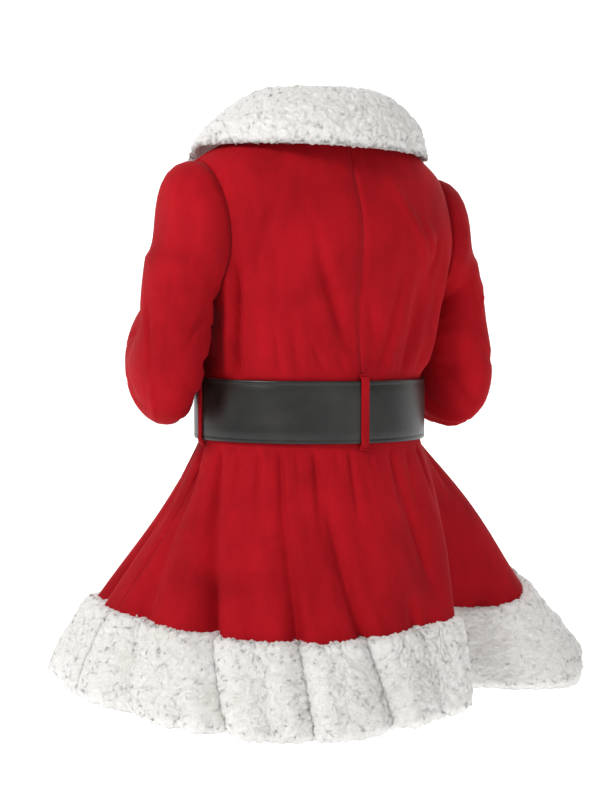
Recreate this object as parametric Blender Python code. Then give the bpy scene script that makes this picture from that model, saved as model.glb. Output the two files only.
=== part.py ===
"""A child's santa coat of red velvet, worn shape with nobody in it, with a fur collar, fur cuffs, a fur hem and a belt.

Metres, +Z up. The front faces -Y and the wearer's left is +X. The origin is the middle of the neck base.
Angles round the coat run from the middle of the back, 0, to the wearer's left side, +90, and to the front, 180.
"""

import math

import bmesh
import bpy
import numpy as np

# Cloth and seams
CLOTH = 0.0016
SEAM_GAP = 0.0003
NECK_DROP = 0.030
SHOULDER_LEAN = 0.038
OVERLAP = 11.0
OVERLAP_STEP = 0.0013

# Heights of the bodice
SHOULDER_POINT = -0.048
UNDERARM = -0.184
WAIST_SEAM = -0.296
SKIRT_START = -0.328

# Armhole, in degrees that it is cut into the back and the front from the side
ARMHOLE_BACK = 34.0
ARMHOLE_FRONT = 38.0
ARMHOLE_STEPS = 10

# Arm pressed against the side of the body
ARM_DENT_ANGLE = 96.0
ARM_DENT_HALF = 46.0

# Rings of the body: height, half_width, back, front, centre_y, squareness
BODY = (
    (0.000, 0.0615, 0.0500, 0.0500, 0.000, 2.0),
    (-0.012, 0.0830, 0.0560, 0.0560, -0.001, 2.1),
    (-0.024, 0.1040, 0.0615, 0.0610, -0.002, 2.2),
    (-0.036, 0.1220, 0.0670, 0.0665, -0.003, 2.3),
    (-0.048, 0.1370, 0.0730, 0.0700, -0.004, 2.3),
    (-0.062, 0.1430, 0.0800, 0.0750, -0.005, 2.4),
    (-0.080, 0.1480, 0.0885, 0.0790, -0.006, 2.4),
    (-0.100, 0.1510, 0.0950, 0.0820, -0.007, 2.5),
    (-0.120, 0.1510, 0.0985, 0.0840, -0.008, 2.6),
    (-0.145, 0.1470, 0.0980, 0.0850, -0.010, 2.7),
    (-0.170, 0.1410, 0.0960, 0.0840, -0.011, 2.7),
    (-0.190, 0.1370, 0.0965, 0.0830, -0.013, 2.6),
    (-0.220, 0.1335, 0.0985, 0.0820, -0.015, 2.4),
    (-0.245, 0.1275, 0.1030, 0.0820, -0.018, 2.2),
    (-0.262, 0.1215, 0.1070, 0.0825, -0.0205, 2.0),
    (-0.300, 0.1205, 0.1075, 0.0825, -0.021, 2.0),
    (-0.335, 0.1210, 0.1080, 0.0830, -0.021, 2.0),
)

# Depth of the arm's dent in the body: height, depth
ARM_DENT = (
    (-0.125, 0.000),
    (-0.150, 0.006),
    (-0.170, 0.014),
    (-0.190, 0.019),
    (-0.205, 0.019),
    (-0.222, 0.018),
    (-0.245, 0.014),
    (-0.262, 0.000),
)

# Folds of the bodice: top_angle, top, bottom_angle, bottom, depth (minus is a ridge), half_width in degrees
BODICE_FOLDS = (
    (51.0, -0.105, 68.0, -0.290, 0.0085, 7.0),
    (61.0, -0.120, 76.0, -0.290, -0.0030, 6.0),
    (16.0, -0.110, 3.0, -0.240, 0.0030, 6.0),
    (2.0, -0.145, -8.0, -0.270, 0.0030, 6.0),
    (26.0, -0.190, 32.0, -0.290, 0.0030, 5.0),
    (-28.0, -0.115, -25.0, -0.290, 0.0050, 8.0),
    (-44.0, -0.095, -48.0, -0.285, -0.0045, 8.0),
    (-56.0, -0.130, -60.0, -0.285, 0.0045, 7.0),
    (128.0, -0.120, 138.0, -0.290, 0.0050, 8.0),
    (158.0, -0.150, 160.0, -0.290, 0.0035, 7.0),
    (-122.0, -0.130, -134.0, -0.290, 0.0055, 8.0),
    (-155.0, -0.110, -150.0, -0.290, 0.0035, 7.0),
)

# Skirt
SKIRT_LENGTH = 0.287
FUR_STARTS = 0.685

# Flare of the skirt at the hem, its length from the belt, and how far it swells on the way: angle, flare, length, swell
FLARE = (
    (-240.0, 0.150, 0.283, -0.030),
    (-210.0, 0.112, 0.285, 0.000),
    (-180.0, 0.090, 0.285, 0.000),
    (-150.0, 0.115, 0.287, 0.000),
    (-125.0, 0.148, 0.288, 0.020),
    (-100.0, 0.180, 0.289, 0.025),
    (-80.0, 0.190, 0.299, 0.030),
    (-62.0, 0.167, 0.312, 0.030),
    (-45.0, 0.116, 0.279, 0.020),
    (-25.0, 0.078, 0.273, 0.000),
    (0.0, 0.084, 0.281, 0.000),
    (30.0, 0.096, 0.289, -0.010),
    (60.0, 0.116, 0.286, -0.030),
    (90.0, 0.140, 0.281, -0.045),
    (120.0, 0.149, 0.283, -0.030),
    (150.0, 0.112, 0.285, 0.000),
    (180.0, 0.090, 0.285, 0.000),
    (210.0, 0.115, 0.287, 0.000),
    (235.0, 0.148, 0.288, 0.020),
)

# Folds of the skirt: waist_angle, hem_angle, depth at the hem, half_width in degrees, where it ends on the way down
SKIRT_FOLDS = (
    (-63.0, -43.0, 0.1050, 21.0, 2.0),
    (92.0, 75.0, 0.0100, 9.0, 2.0),
    (75.0, 50.0, 0.0170, 7.0, 2.0),
    (56.0, 38.0, 0.0050, 6.0, 2.0),
    (41.0, 27.0, 0.0090, 6.0, 2.0),
    (24.5, 3.5, 0.0130, 7.0, 2.0),
    (7.0, 4.0, 0.0070, 5.0, 0.5),
    (-17.0, -30.0, 0.0100, 6.0, 0.7),
    (-36.0, -20.0, -0.0060, 8.0, 2.0),
    (108.0, 104.0, 0.0140, 8.0, 2.0),
    (132.0, 130.0, 0.0200, 10.0, 2.0),
    (160.0, 158.0, 0.0140, 9.0, 2.0),
    (-84.0, -80.0, 0.0100, 8.0, 2.0),
    (-108.0, -104.0, 0.0180, 9.0, 2.0),
    (-134.0, -132.0, 0.0200, 10.0, 2.0),
    (-158.0, -160.0, 0.0130, 9.0, 2.0),
)

SKIRT_ROWS = 11
FLUTE_THIN = 0.75

# Fur at the hem: share of the band's height from the seam to the hem, thickness
HEM_FUR = (
    (0.000, 0.0060),
    (0.060, 0.0095),
    (0.350, 0.0110),
    (0.750, 0.0115),
    (0.950, 0.0090),
    (1.000, 0.0040),
)

# Collar, round its section: half_width, back, front, height, drop at the front, centre_y
COLLAR = (
    (0.1275, 0.0990, 0.1130, -0.0290, 0.040, -0.015),
    (0.1290, 0.1015, 0.1150, -0.0225, 0.038, -0.015),
    (0.1250, 0.1000, 0.1100, -0.0140, 0.034, -0.013),
    (0.1195, 0.0950, 0.1030, -0.0040, 0.031, -0.010),
    (0.1110, 0.0880, 0.0940, 0.0050, 0.029, -0.007),
    (0.1005, 0.0795, 0.0830, 0.0140, 0.028, -0.004),
    (0.0860, 0.0700, 0.0730, 0.0235, 0.027, -0.002),
    (0.0700, 0.0590, 0.0610, 0.0310, 0.027, -0.001),
    (0.0600, 0.0490, 0.0520, 0.0340, 0.028, 0.000),
    (0.0540, 0.0425, 0.0440, 0.0300, 0.029, 0.000),
    (0.0540, 0.0420, 0.0415, 0.0160, 0.030, 0.000),
    (0.0560, 0.0445, 0.0440, 0.0012, 0.030, 0.000),
    (0.0640, 0.0525, 0.0525, 0.0012, 0.030, 0.000),
    (0.0650, 0.0535, 0.0540, 0.0130, 0.030, 0.000),
    (0.0720, 0.0580, 0.0600, 0.0190, 0.029, 0.000),
    (0.0870, 0.0670, 0.0720, 0.0110, 0.029, -0.002),
    (0.0995, 0.0760, 0.0830, 0.0015, 0.030, -0.005),
    (0.1095, 0.0835, 0.0930, -0.0080, 0.032, -0.009),
    (0.1165, 0.0890, 0.1010, -0.0165, 0.036, -0.012),
    (0.1205, 0.0920, 0.1055, -0.0235, 0.040, -0.014),
)
COLLAR_SAG = 0.002
COLLAR_HALF_OPEN = 177.0
COLLAR_STEPS = 36

# Sleeve
SLEEVE_SIDES = 2 * ARMHOLE_STEPS
CAP_CENTRE = (0.1595, -0.004, -0.1605)
CAP_RADII = (0.0360, 0.0500)
CAP_TURN = 43.5
CAP_FULLNESS = 1.6
UNDERARM_GAP = 0.0013
BODY_AXIS = (0.0, -0.012, 0.0)
CAP_RINGS = 3
ARM_ACROSS = 0.1600
ARM_DOWN = (0.20, -0.03, -0.98)
ELBOW_CREASE = 0.006
ELBOW_DEPTHS = (0.0440, 0.0380)
ELBOW_RINGS = 10
FOREARM_UP = 29.0
WRIST_IN = 54.0
WRIST_UP = 29.0
FOREARM_RADIUS = 0.22
FOREARM_RINGS = 6
CUFF_LENGTH = 0.050
CUFF_FUR = 0.0130

WRIST_RADIUS = 0.0340

# Start of each elbow, back to front and in height, how far its point stands out, and how the forearm turns in
ARMS = {
    "left": (-0.009, -0.206, 0.0110, 25.0),
    "right": (0.009, -0.208, 0.0175, 20.0),
}

# Half-width of the sleeve across the arm: share of the way down, across
SLEEVE_ACROSS = (
    (0.00, 0.0378),
    (0.15, 0.0350),
    (0.28, 0.0340),
    (0.45, 0.0335),
    (0.62, 0.0345),
    (1.00, 0.0340),
)

# Creases of the sleeves: share of the way, angle round, lean, half_turn, half_length, depth
SLEEVE_CREASES = (
    (0.16, 150.0, 0.03, 45.0, 0.030, 0.0030),
    (0.28, 150.0, 0.04, 50.0, 0.032, 0.0040),
    (0.40, 140.0, 0.05, 60.0, 0.035, 0.0045),
    (0.50, 165.0, 0.04, 55.0, 0.035, 0.0045),
    (0.44, 10.0, -0.04, 40.0, 0.035, 0.0025),
)

# Belt
BELT_TOP = -0.262
BELT_HEIGHT = 0.063
BELT_CLEAR = 0.0023
BELT_THICK = 0.0026
BELT_RISE = 0.012
BELT_STEPS = 64
BUCKLE_ANGLE = 180.0
TIP_ANGLE = 144.0
TIP_LIFT = 0.0034
BUCKLE_OUT = (0.080, 0.082)
BUCKLE_BAR = 0.0090
BUCKLE_THICK = 0.0036
BUCKLE_SEAT = 0.0009
PRONG_RADIUS = 0.0022
LOOP_WIDTH = 0.0080
LOOP_THICK = 0.0014
LOOP_REACH = 0.0060
LOOP_CLEAR = 0.0016

# Belt loops: name, angle, how far it stands off the belt at its foot
LOOPS = (
    ("belt_loop_back", 0.0, 0.0),
    ("belt_loop_left", 90.0, 0.0),
    ("belt_loop_right", -88.0, 0.0045),
)

VELVET_RED = (0.53, 0.012, 0.022)
FUR_WHITE = (0.80, 0.78, 0.76)
BELT_BLACK = (0.022, 0.021, 0.018)
BUCKLE_GOLD = (0.62, 0.45, 0.18)


def material(name, colour, roughness, metallic=0.0):
    found = bpy.data.materials.new(name)
    found.use_nodes = True
    shader = found.node_tree.nodes["Principled BSDF"]
    shader.inputs["Base Color"].default_value = (*colour, 1.0)
    shader.inputs["Roughness"].default_value = roughness
    shader.inputs["Metallic"].default_value = metallic
    found.diffuse_color = (*colour, 1.0)
    return found


def read(table, at):
    """The other columns of a table at a value of its first column, on a smooth curve through its rows."""
    keys = [row[0] for row in table]
    if keys[0] > keys[-1]:
        table = table[::-1]
        keys = keys[::-1]
    at = min(max(at, keys[0]), keys[-1])
    i = 0
    while i < len(keys) - 2 and at > keys[i + 1]:
        i += 1
    span = keys[i + 1] - keys[i]
    t = (at - keys[i]) / span
    here = np.array(table[i][1:])
    there = np.array(table[i + 1][1:])
    before = i - 1 if i > 0 else i
    after = i + 2 if i + 2 < len(keys) else i + 1
    slope_here = (there - np.array(table[before][1:])) / (keys[i + 1] - keys[before]) * span
    slope_there = (np.array(table[after][1:]) - here) / (keys[after] - keys[i]) * span
    return (
        here * (2 * t**3 - 3 * t**2 + 1)
        + slope_here * (t**3 - 2 * t**2 + t)
        + there * (3 * t**2 - 2 * t**3)
        + slope_there * (t**3 - t**2)
    )


def unit(vector):
    return np.array(vector, float) / np.linalg.norm(vector)


def signed_power(value, power):
    return math.copysign(abs(value) ** power, value)


def turn_between(angle, middle):
    """How far an angle is from a middle one, the short way round."""
    return (angle - middle + 180.0) % 360.0 - 180.0


def bump(distance, half_width):
    """A soft round hump, 1 in its middle and 0 at its edges."""
    return math.cos(math.pi / 2 * distance / half_width) ** 2 if abs(distance) < half_width else 0.0


def ease(value, start, end):
    """Rises smoothly from 0 at start to 1 at end."""
    t = min(max((value - start) / (end - start), 0.0), 1.0)
    return t * t * (3 - 2 * t)


def ring_point(angle, half_width, back, front, centre_y, squareness):
    """A point of a ring, which is deeper at its back than at its front."""
    sine = math.sin(math.radians(angle))
    cosine = math.cos(math.radians(angle))
    depth = back if cosine > 0 else front
    x = half_width * signed_power(sine, 2 / squareness)
    y = centre_y + depth * signed_power(cosine, 2 / squareness)
    return x, y


def outward(angle):
    return np.array((math.sin(math.radians(angle)), math.cos(math.radians(angle)), 0.0))


def frontness(angle):
    """0 at the back and the sides, rising to 1 at the middle of the front."""
    return max(-math.cos(math.radians(angle)), 0.0) ** 1.5


def bodice_fold(angle, height):
    total = 0.0
    for top_angle, top, bottom_angle, bottom, depth, half_width in BODICE_FOLDS:
        share = (top - height) / (top - bottom)
        if not 0.0 < share < 1.0:
            continue
        middle = top_angle + (bottom_angle - top_angle) * share
        fade = ease(share, 0.0, 0.45) * (1.0 - ease(share, 0.90, 1.0))
        total -= depth * fade * bump(turn_between(angle, middle), half_width)
    return total * ease(-height, -BELT_TOP + 0.002, -BELT_TOP - 0.020)


def body_point(angle, height, folded=True):
    """A point in the middle of the bodice's cloth. Near the neck the rings dip at the front."""
    x, y = ring_point(angle, *read(BODY, height))
    point = np.array((x, y, height))
    if folded:
        side = abs(turn_between(angle, 0.0))
        dent = read(ARM_DENT, height)[0] * bump(side - ARM_DENT_ANGLE, ARM_DENT_HALF)
        point += outward(angle) * (bodice_fold(angle, height) - dent)
    point[2] -= NECK_DROP * frontness(angle) * ease(height, -0.100, -0.010)
    point[2] += SHOULDER_LEAN * x * ease(height, UNDERARM, SHOULDER_POINT) * ease(-height, 0.0, -SHOULDER_POINT)
    return point


def skirt_fold(angle, down):
    total = 0.0
    for waist_angle, hem_angle, depth, half_width, ends in SKIRT_FOLDS:
        middle = waist_angle + (hem_angle - waist_angle) * down
        fade = 1.0 - ease(down, ends - 0.45, ends) if ends <= 1.0 else 1.0
        total += depth * fade * bump(turn_between(angle, middle), half_width)
    return total


def skirt_point(angle, down):
    """A point of the skirt, where down is 0 at the belt and 1 at the hem. Above 0 it is under the belt."""
    x, y = ring_point(angle, *read(BODY, SKIRT_START))
    top = np.array((x, y, SKIRT_START))
    if down < 0.0:
        x, y = ring_point(angle, *read(BODY, SKIRT_START - down * SKIRT_LENGTH))
        return np.array((x, y, SKIRT_START - down * SKIRT_LENGTH))
    flare, length, swell = read(FLARE, turn_between(angle, 0.0))
    reach = max(flare - skirt_fold(angle, down), 0.004)
    drop = math.sqrt(length**2 - flare**2)
    opened = down + swell * math.sin(2 * math.pi * down)
    return top + outward(angle) * reach * opened - np.array((0, 0, drop * down))


def faces_normals(grid):
    """The area normal of each cell of a grid of points."""
    across = grid[:-1, 1:] - grid[1:, :-1]
    along = grid[1:, 1:] - grid[:-1, :-1]
    return np.cross(across, along)


def shared_normals(grids):
    """Normals at the points of several grids, which agree where the grids meet."""
    sums = {}

    def key(point):
        return tuple(np.round(point, 6))

    for grid, sign in grids:
        normals = faces_normals(grid) * sign
        rows, columns = normals.shape[:2]
        for i in range(rows):
            for j in range(columns):
                for corner in ((i, j), (i + 1, j), (i, j + 1), (i + 1, j + 1)):
                    place = key(grid[corner])
                    sums[place] = sums.get(place, np.zeros(3)) + normals[i, j]
    found = []
    for grid, _ in grids:
        normals = np.zeros_like(grid)
        for i in range(grid.shape[0]):
            for j in range(grid.shape[1]):
                normals[i, j] = unit(sums[key(grid[i, j])])
        found.append(normals)
    return found


def trimmed(grid, sides):
    """The grid with the named sides drawn back by half a seam's gap."""
    grid = grid.copy()
    ends = {
        "first_row": (0, 1, 0),
        "last_row": (-1, -2, 0),
        "first_column": (0, 1, 1),
        "last_column": (-1, -2, 1),
    }
    for side in sides:
        edge, inner, axis = ends[side]
        lines = np.moveaxis(grid, axis, 0)
        toward = lines[inner] - lines[edge]
        length = np.linalg.norm(toward, axis=1, keepdims=True)
        lines[edge] += toward / length * (SEAM_GAP * 0.55)
    return grid


def finish_mesh(bm, name, look, smooth=True):
    bmesh.ops.remove_doubles(bm, verts=bm.verts, dist=1e-7)
    bmesh.ops.recalc_face_normals(bm, faces=bm.faces)
    mesh = bpy.data.meshes.new(name)
    bm.to_mesh(mesh)
    bm.free()
    if smooth:
        mesh.shade_smooth()
        mesh.set_sharp_from_angle(angle=math.radians(50))
    mesh.materials.append(look)
    piece = bpy.data.objects.new(name, mesh)
    bpy.context.scene.collection.objects.link(piece)
    return piece


def wall(name, outer, inner, look, closed=False):
    """A cloth wall between two grids of points. A closed one joins its last column to its first."""
    bm = bmesh.new()
    rows, columns = outer.shape[:2]
    layers = []
    for layer in (outer, inner):
        layers.append([[bm.verts.new(layer[i, j]) for j in range(columns)] for i in range(rows)])
    last = columns if closed else columns - 1
    for layer in layers:
        for i in range(rows - 1):
            for j in range(last):
                k = (j + 1) % columns
                bm.faces.new((layer[i][j], layer[i][k], layer[i + 1][k], layer[i + 1][j]))
    rims = [[(i, j) for j in range(columns)] for i in (0, rows - 1)]
    if closed:
        rims = [rim + rim[:1] for rim in rims]
    else:
        rims += [[(i, j) for i in range(rows)] for j in (0, columns - 1)]
    for rim in rims:
        for (i, j), (k, m) in zip(rim, rim[1:]):
            bm.faces.new((layers[0][i][j], layers[0][k][m], layers[1][k][m], layers[1][i][j]))
    return finish_mesh(bm, name, look)


def swept(name, sections, look, closed=False, smooth=True):
    """A solid through equal closed sections, with its ends capped unless it closes on itself."""
    bm = bmesh.new()
    loops = [[bm.verts.new(point) for point in section] for section in sections]
    count = len(loops[0])
    pairs = list(zip(loops, loops[1:]))
    if closed:
        pairs.append((loops[-1], loops[0]))
    for here, there in pairs:
        for j in range(count):
            k = (j + 1) % count
            bm.faces.new((here[j], here[k], there[k], there[j]))
    if not closed:
        bm.faces.new(loops[0])
        bm.faces.new(loops[-1])
        bmesh.ops.triangulate(bm, faces=[face for face in bm.faces if len(face.verts) > 4])
    return finish_mesh(bm, name, look, smooth)


def bodice_rows():
    """Heights of the bodice's rows, with how far each is cut in at the armhole, from 0 to 1."""
    rows = [(height, 0.0) for height in np.linspace(WAIST_SEAM, UNDERARM, 7)[:-1]]
    middle = (UNDERARM + SHOULDER_POINT) / 2
    half = (SHOULDER_POINT - UNDERARM) / 2
    for k in range(ARMHOLE_STEPS + 1):
        turn = math.pi * k / ARMHOLE_STEPS
        rows.append((middle - half * math.cos(turn), math.sin(turn)))
    rows += [(height, 0.0) for height in np.linspace(SHOULDER_POINT, 0.0, 5)[1:]]
    return rows


def bodice_grid(side, front, columns):
    """One panel of the bodice, from the middle of the back or front to the side. side is 1 on the left."""
    grid = []
    lift = []
    for height, cut in bodice_rows():
        start = 180.0 + OVERLAP if front else 0.0
        taken = ARMHOLE_FRONT * cut if front else -ARMHOLE_BACK * cut
        row = []
        row_lift = []
        for j in range(columns):
            share = j / (columns - 1)
            angle = start + (90.0 - start) * share + taken * share**2.5
            row.append(body_point(side * angle, height))
            row_lift.append(-side * OVERLAP_STEP * ease(angle, 160.0, 172.0) if front else 0.0)
        grid.append(row)
        lift.append(row_lift)
    grid = np.array(grid)
    normals = shared_normals([(grid, side if front else -side)])[0]
    return grid + normals * np.array(lift)[:, :, None]


def skirt_grid(start, step, columns):
    """A panel of the skirt, from the waist seam past the top of the fur to the hem."""
    under = (SKIRT_START - WAIST_SEAM) / SKIRT_LENGTH
    levels = [under, under / 2] + [FUR_STARTS * i / (SKIRT_ROWS - 3) for i in range(SKIRT_ROWS - 2)]
    levels += [FUR_STARTS + (1 - FUR_STARTS) * row[0] for row in HEM_FUR[1:]]
    angles = [start + step * j for j in range(columns)]
    grid = np.array([[skirt_point(angle, down) for angle in angles] for down in levels])
    if abs(start + step * columns) < 150.0:
        return grid
    normals = shared_normals([(grid, math.copysign(1.0, step))])[0]
    lift = [-math.copysign(OVERLAP_STEP, angle) * ease(abs(angle), 160.0, 172.0) for angle in angles]
    return grid + normals * np.array(lift)[None, :, None]


def arc_path(start, direction, toward, radius, count):
    """Points and directions along an arc that leaves along one direction and ends along another."""
    angle = math.acos(float(direction @ toward))
    side = unit(toward - direction * float(direction @ toward))
    found = []
    for i in range(1, count + 1):
        turn = angle * i / count
        point = start + radius * (math.sin(turn) * direction + (1 - math.cos(turn)) * side)
        found.append((point, math.cos(turn) * direction + math.sin(turn) * side))
    return found


def elbow_path(start, direction, toward, point):
    """Rings of the elbow, all turned about its inner crease, with their depth from front to back."""
    angle = math.acos(float(direction @ toward))
    side = unit(toward - direction * float(direction @ toward))
    crease = start + side * (ELBOW_CREASE + ELBOW_DEPTHS[0])
    found = []
    for i in range(1, ELBOW_RINGS + 1):
        share = i / ELBOW_RINGS
        turn = angle * share
        depth = ELBOW_DEPTHS[0] + (ELBOW_DEPTHS[1] - ELBOW_DEPTHS[0]) * share
        depth += point * bump(share - 0.48, 0.5)
        away = math.sin(turn) * direction - math.cos(turn) * side
        found.append((crease + away * (ELBOW_CREASE + depth), math.cos(turn) * direction + math.sin(turn) * side, depth))
    return found


def heading(inward, up):
    inward = math.radians(inward)
    up = math.radians(up)
    return np.array((-math.cos(up) * math.sin(inward), -math.cos(up) * math.cos(inward), math.sin(up)))


def arm_path(arm):
    """Centres and directions down a sleeve, built on the left, from the cap's ring to the wrist, and its depths."""
    start_y, start_height, point, inward = ARMS[arm]
    cap_turn = math.radians(CAP_TURN)
    cap = np.array(CAP_CENTRE)
    cap_way = np.array((math.cos(math.pi / 2 - cap_turn), 0.0, -math.sin(math.pi / 2 - cap_turn)))
    start = np.array((ARM_ACROSS, start_y, start_height))
    down = unit(ARM_DOWN)
    path = [(cap, cap_way)]
    for share in (0.5, 1.0):
        path.append((cap + (start - cap) * share, unit(cap_way + (down - cap_way) * share)))
    forearm = heading(inward, FOREARM_UP)
    wrist = heading(WRIST_IN, WRIST_UP)
    elbow = elbow_path(start, down, forearm, point)
    depths = [CAP_RADII[1], 0.5 * (CAP_RADII[1] + ELBOW_DEPTHS[0]), ELBOW_DEPTHS[0]]
    depths += [depth for _, _, depth in elbow]
    path += [(centre, way) for centre, way, _ in elbow]
    path += arc_path(path[-1][0], forearm, wrist, FOREARM_RADIUS, FOREARM_RINGS)
    for i in range(1, FOREARM_RINGS + 1):
        depths.append(ELBOW_DEPTHS[1] + (WRIST_RADIUS - ELBOW_DEPTHS[1]) * i / FOREARM_RINGS)
    return path, depths


def arm_frames(path):
    """Two directions across each step of the path: outward from the body, and to the back."""
    back = np.array((0.0, 1.0, 0.0))
    way = path[0][1]
    out = unit(np.cross(way, back))
    frames = [(out, back)]
    for (_, before), (_, after) in zip(path, path[1:]):
        out = unit(out - after * float(out @ after))
        frames.append((out, unit(np.cross(out, after))))
    return frames


def crease(share, angle):
    total = 0.0
    for at, middle, lean, half_turn, half_length, depth in SLEEVE_CREASES:
        turn = turn_between(angle, middle)
        along = share - at - lean * turn / half_turn
        total += depth * bump(turn, half_turn) * bump(along, half_length)
    return total


def arm_ring(centre, frame, radii, share, creased=True, grow=0.0):
    ring = []
    for j in range(SLEEVE_SIDES):
        angle = 360.0 * j / SLEEVE_SIDES
        dent = crease(share, angle) if creased else 0.0
        across = (radii[0] + grow - dent) * math.cos(math.radians(angle))
        through = (radii[1] + grow - dent) * math.sin(math.radians(angle))
        ring.append(centre + frame[0] * across + frame[1] * through)
    return np.array(ring)


def under_share(j):
    """0 at the top of the armhole, 1 under the arm."""
    return (1 - math.cos(2 * math.pi * j / SLEEVE_SIDES)) / 2


def sleeve_grid(armhole, arm):
    """Rings of a sleeve, built on the left, from the armhole to the wrist."""
    path, depths = arm_path(arm)
    frames = arm_frames(path)
    steps = [0.0]
    for (here, _), (there, _) in zip(path, path[1:]):
        steps.append(steps[-1] + np.linalg.norm(there - here))
    rings = []
    for (centre, _), frame, step, depth in zip(path, frames, steps, depths):
        share = step / steps[-1]
        rings.append(arm_ring(centre, frame, (read(SLEEVE_ACROSS, share)[0], depth), share))
    cap = []
    way = path[0][1]
    for i in range(CAP_RINGS):
        t = i / CAP_RINGS
        ring = []
        for j in range(SLEEVE_SIDES):
            under = under_share(j)
            chord = np.linalg.norm(rings[0][j] - armhole[j])
            from_body = unit((armhole[j] - np.array(BODY_AXIS)) * np.array((1.0, 1.0, 0.0)))
            leave = unit(np.array((1.0, 0.0, 0.05)) * (1 - under) + from_body * under)
            start = armhole[j] + leave * UNDERARM_GAP * under
            ring.append(
                start * (2 * t**3 - 3 * t**2 + 1)
                + leave * chord * CAP_FULLNESS * (t**3 - 2 * t**2 + t)
                + rings[0][j] * (3 * t**2 - 2 * t**3)
                + way * chord * (t**3 - t**2)
            )
        cap.append(ring)
    return np.array(cap + rings)


def mirrored(grid):
    return grid * np.array((-1.0, 1.0, 1.0))


def make_coat(look):
    """The bodice, the sleeves and the skirt, as walls whose faces meet squarely at each seam."""
    panels = {}
    for name, side, front, columns in (
        ("bodice_back_left", 1, False, 11),
        ("bodice_back_right", -1, False, 11),
        ("bodice_front_left", 1, True, 9),
        ("bodice_front_right", -1, True, 9),
    ):
        panels[name] = bodice_grid(side, front, columns)
    armhole_rows = slice(6, 6 + ARMHOLE_STEPS + 1)
    loops = {}
    for side in ("left", "right"):
        back = panels[f"bodice_back_{side}"][armhole_rows, -1][::-1]
        front = panels[f"bodice_front_{side}"][armhole_rows, -1]
        loops[side] = np.concatenate([back, front[1:-1]])
    left = sleeve_grid(loops["left"], "left")
    right = mirrored(sleeve_grid(mirrored(loops["right"]), "right"))
    sleeves = {"sleeve_left": left, "sleeve_right": right}
    joined = {name: np.concatenate([grid, grid[:, :1]], axis=1) for name, grid in sleeves.items()}
    signs = {
        "bodice_back_left": -1,
        "bodice_back_right": 1,
        "bodice_front_left": 1,
        "bodice_front_right": -1,
        "sleeve_left": -1,
        "sleeve_right": 1,
    }
    grids = {**panels, **joined}
    normals = dict(zip(panels, shared_normals([(panels[name], signs[name]) for name in panels])))
    touching = dict(grids)
    for side in ("left", "right"):
        name = f"sleeve_{side}"
        normals[name] = shared_normals([(joined[name], signs[name])])[0]
        seam = np.concatenate([loops[side], loops[side][:1]])
        touching[name] = np.concatenate([seam[None], joined[name][1:]])
    meeting = dict(zip(grids, shared_normals([(touching[name], signs[name]) for name in grids])))
    for side in ("left", "right"):
        for j in range(SLEEVE_SIDES + 1):
            share = 1.0 - ease(under_share(j), 0.30, 0.65)
            row = armhole_rows.start + abs(ARMHOLE_STEPS - j)
            panel = f"bodice_{'back' if j <= ARMHOLE_STEPS else 'front'}_{side}"
            spots = [(f"sleeve_{side}", (0, j)), (panel, (row, -1))]
            if j == ARMHOLE_STEPS or j == 0:
                spots.append((f"bodice_front_{side}", (row, -1)))
            for name, spot in spots:
                normals[name][spot] = unit(normals[name][spot] * (1 - share) + meeting[name][spot] * share)
    for name, grid in grids.items():
        outer = grid + normals[name] * CLOTH / 2
        inner = grid - normals[name] * CLOTH / 2
        if name in sleeves:
            outer, inner = outer[:, :-1], inner[:, :-1]
            sides = ("first_row", "last_row")
        elif "front" in name:
            sides = ("first_row", "last_row", "last_column")
        else:
            sides = ("first_row", "last_row", "first_column", "last_column")
        wall(name, trimmed(outer, sides), trimmed(inner, sides), look, closed=name in sleeves)


# Panels of the skirt: name, first angle, step, columns, and how many of them the fur under it has
SKIRT_PANELS = (
    ("back", -90.0, 3.75, 49, 49),
    ("left", 90.0, 5.6, 19, 17),
    ("right", -90.0, -5.6, 19, 17),
)
SKIRT_NAMES = {"back": "skirt_back", "left": "skirt_front_left", "right": "skirt_front_right"}


def fur_scale(angle, down):
    """The fur lies thinner in the bottom of the deep flute."""
    waist_angle, hem_angle, _, half_width, _ = SKIRT_FOLDS[0]
    middle = waist_angle + (hem_angle - waist_angle) * down
    return 1.0 - FLUTE_THIN * bump(turn_between(angle, middle), half_width * 0.8)


def make_skirt_and_hem(velvet, fur):
    """The skirt's cloth, and the fur band round the hem, thick on its outside and smooth on its inside."""
    grids = {name: skirt_grid(start, step, columns) for name, start, step, columns, _ in SKIRT_PANELS}
    signs = {name: math.copysign(1, step) for name, _, step, _, _ in SKIRT_PANELS}
    normals = dict(zip(grids, shared_normals([(grids[name], signs[name]) for name in grids])))
    for name, start, step, columns, furred in SKIRT_PANELS:
        grid = grids[name]
        outer = grid + normals[name] * CLOTH / 2
        inner = grid - normals[name] * CLOTH / 2
        sides = ["first_row", "last_row", "first_column"] + (["last_column"] if name == "back" else [])
        cloth = slice(0, SKIRT_ROWS)
        wall(SKIRT_NAMES[name], trimmed(outer[cloth], sides), trimmed(inner[cloth], sides), velvet)
        thick = np.array([[row[1]] * furred for row in HEM_FUR])
        for i in range(len(HEM_FUR)):
            down = FUR_STARTS + (1 - FUR_STARTS) * HEM_FUR[i][0]
            for j in range(furred):
                thick[i, j] *= fur_scale(start + step * j, down)
        band = slice(SKIRT_ROWS - 1, None)
        outer = grid[band, :furred] + normals[name][band, :furred] * thick[:, :, None]
        sides = ("first_row", "first_column", "last_column")
        wall(f"hem_fur_{name}", trimmed(outer, sides), trimmed(inner[band, :furred], sides), fur)


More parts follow.
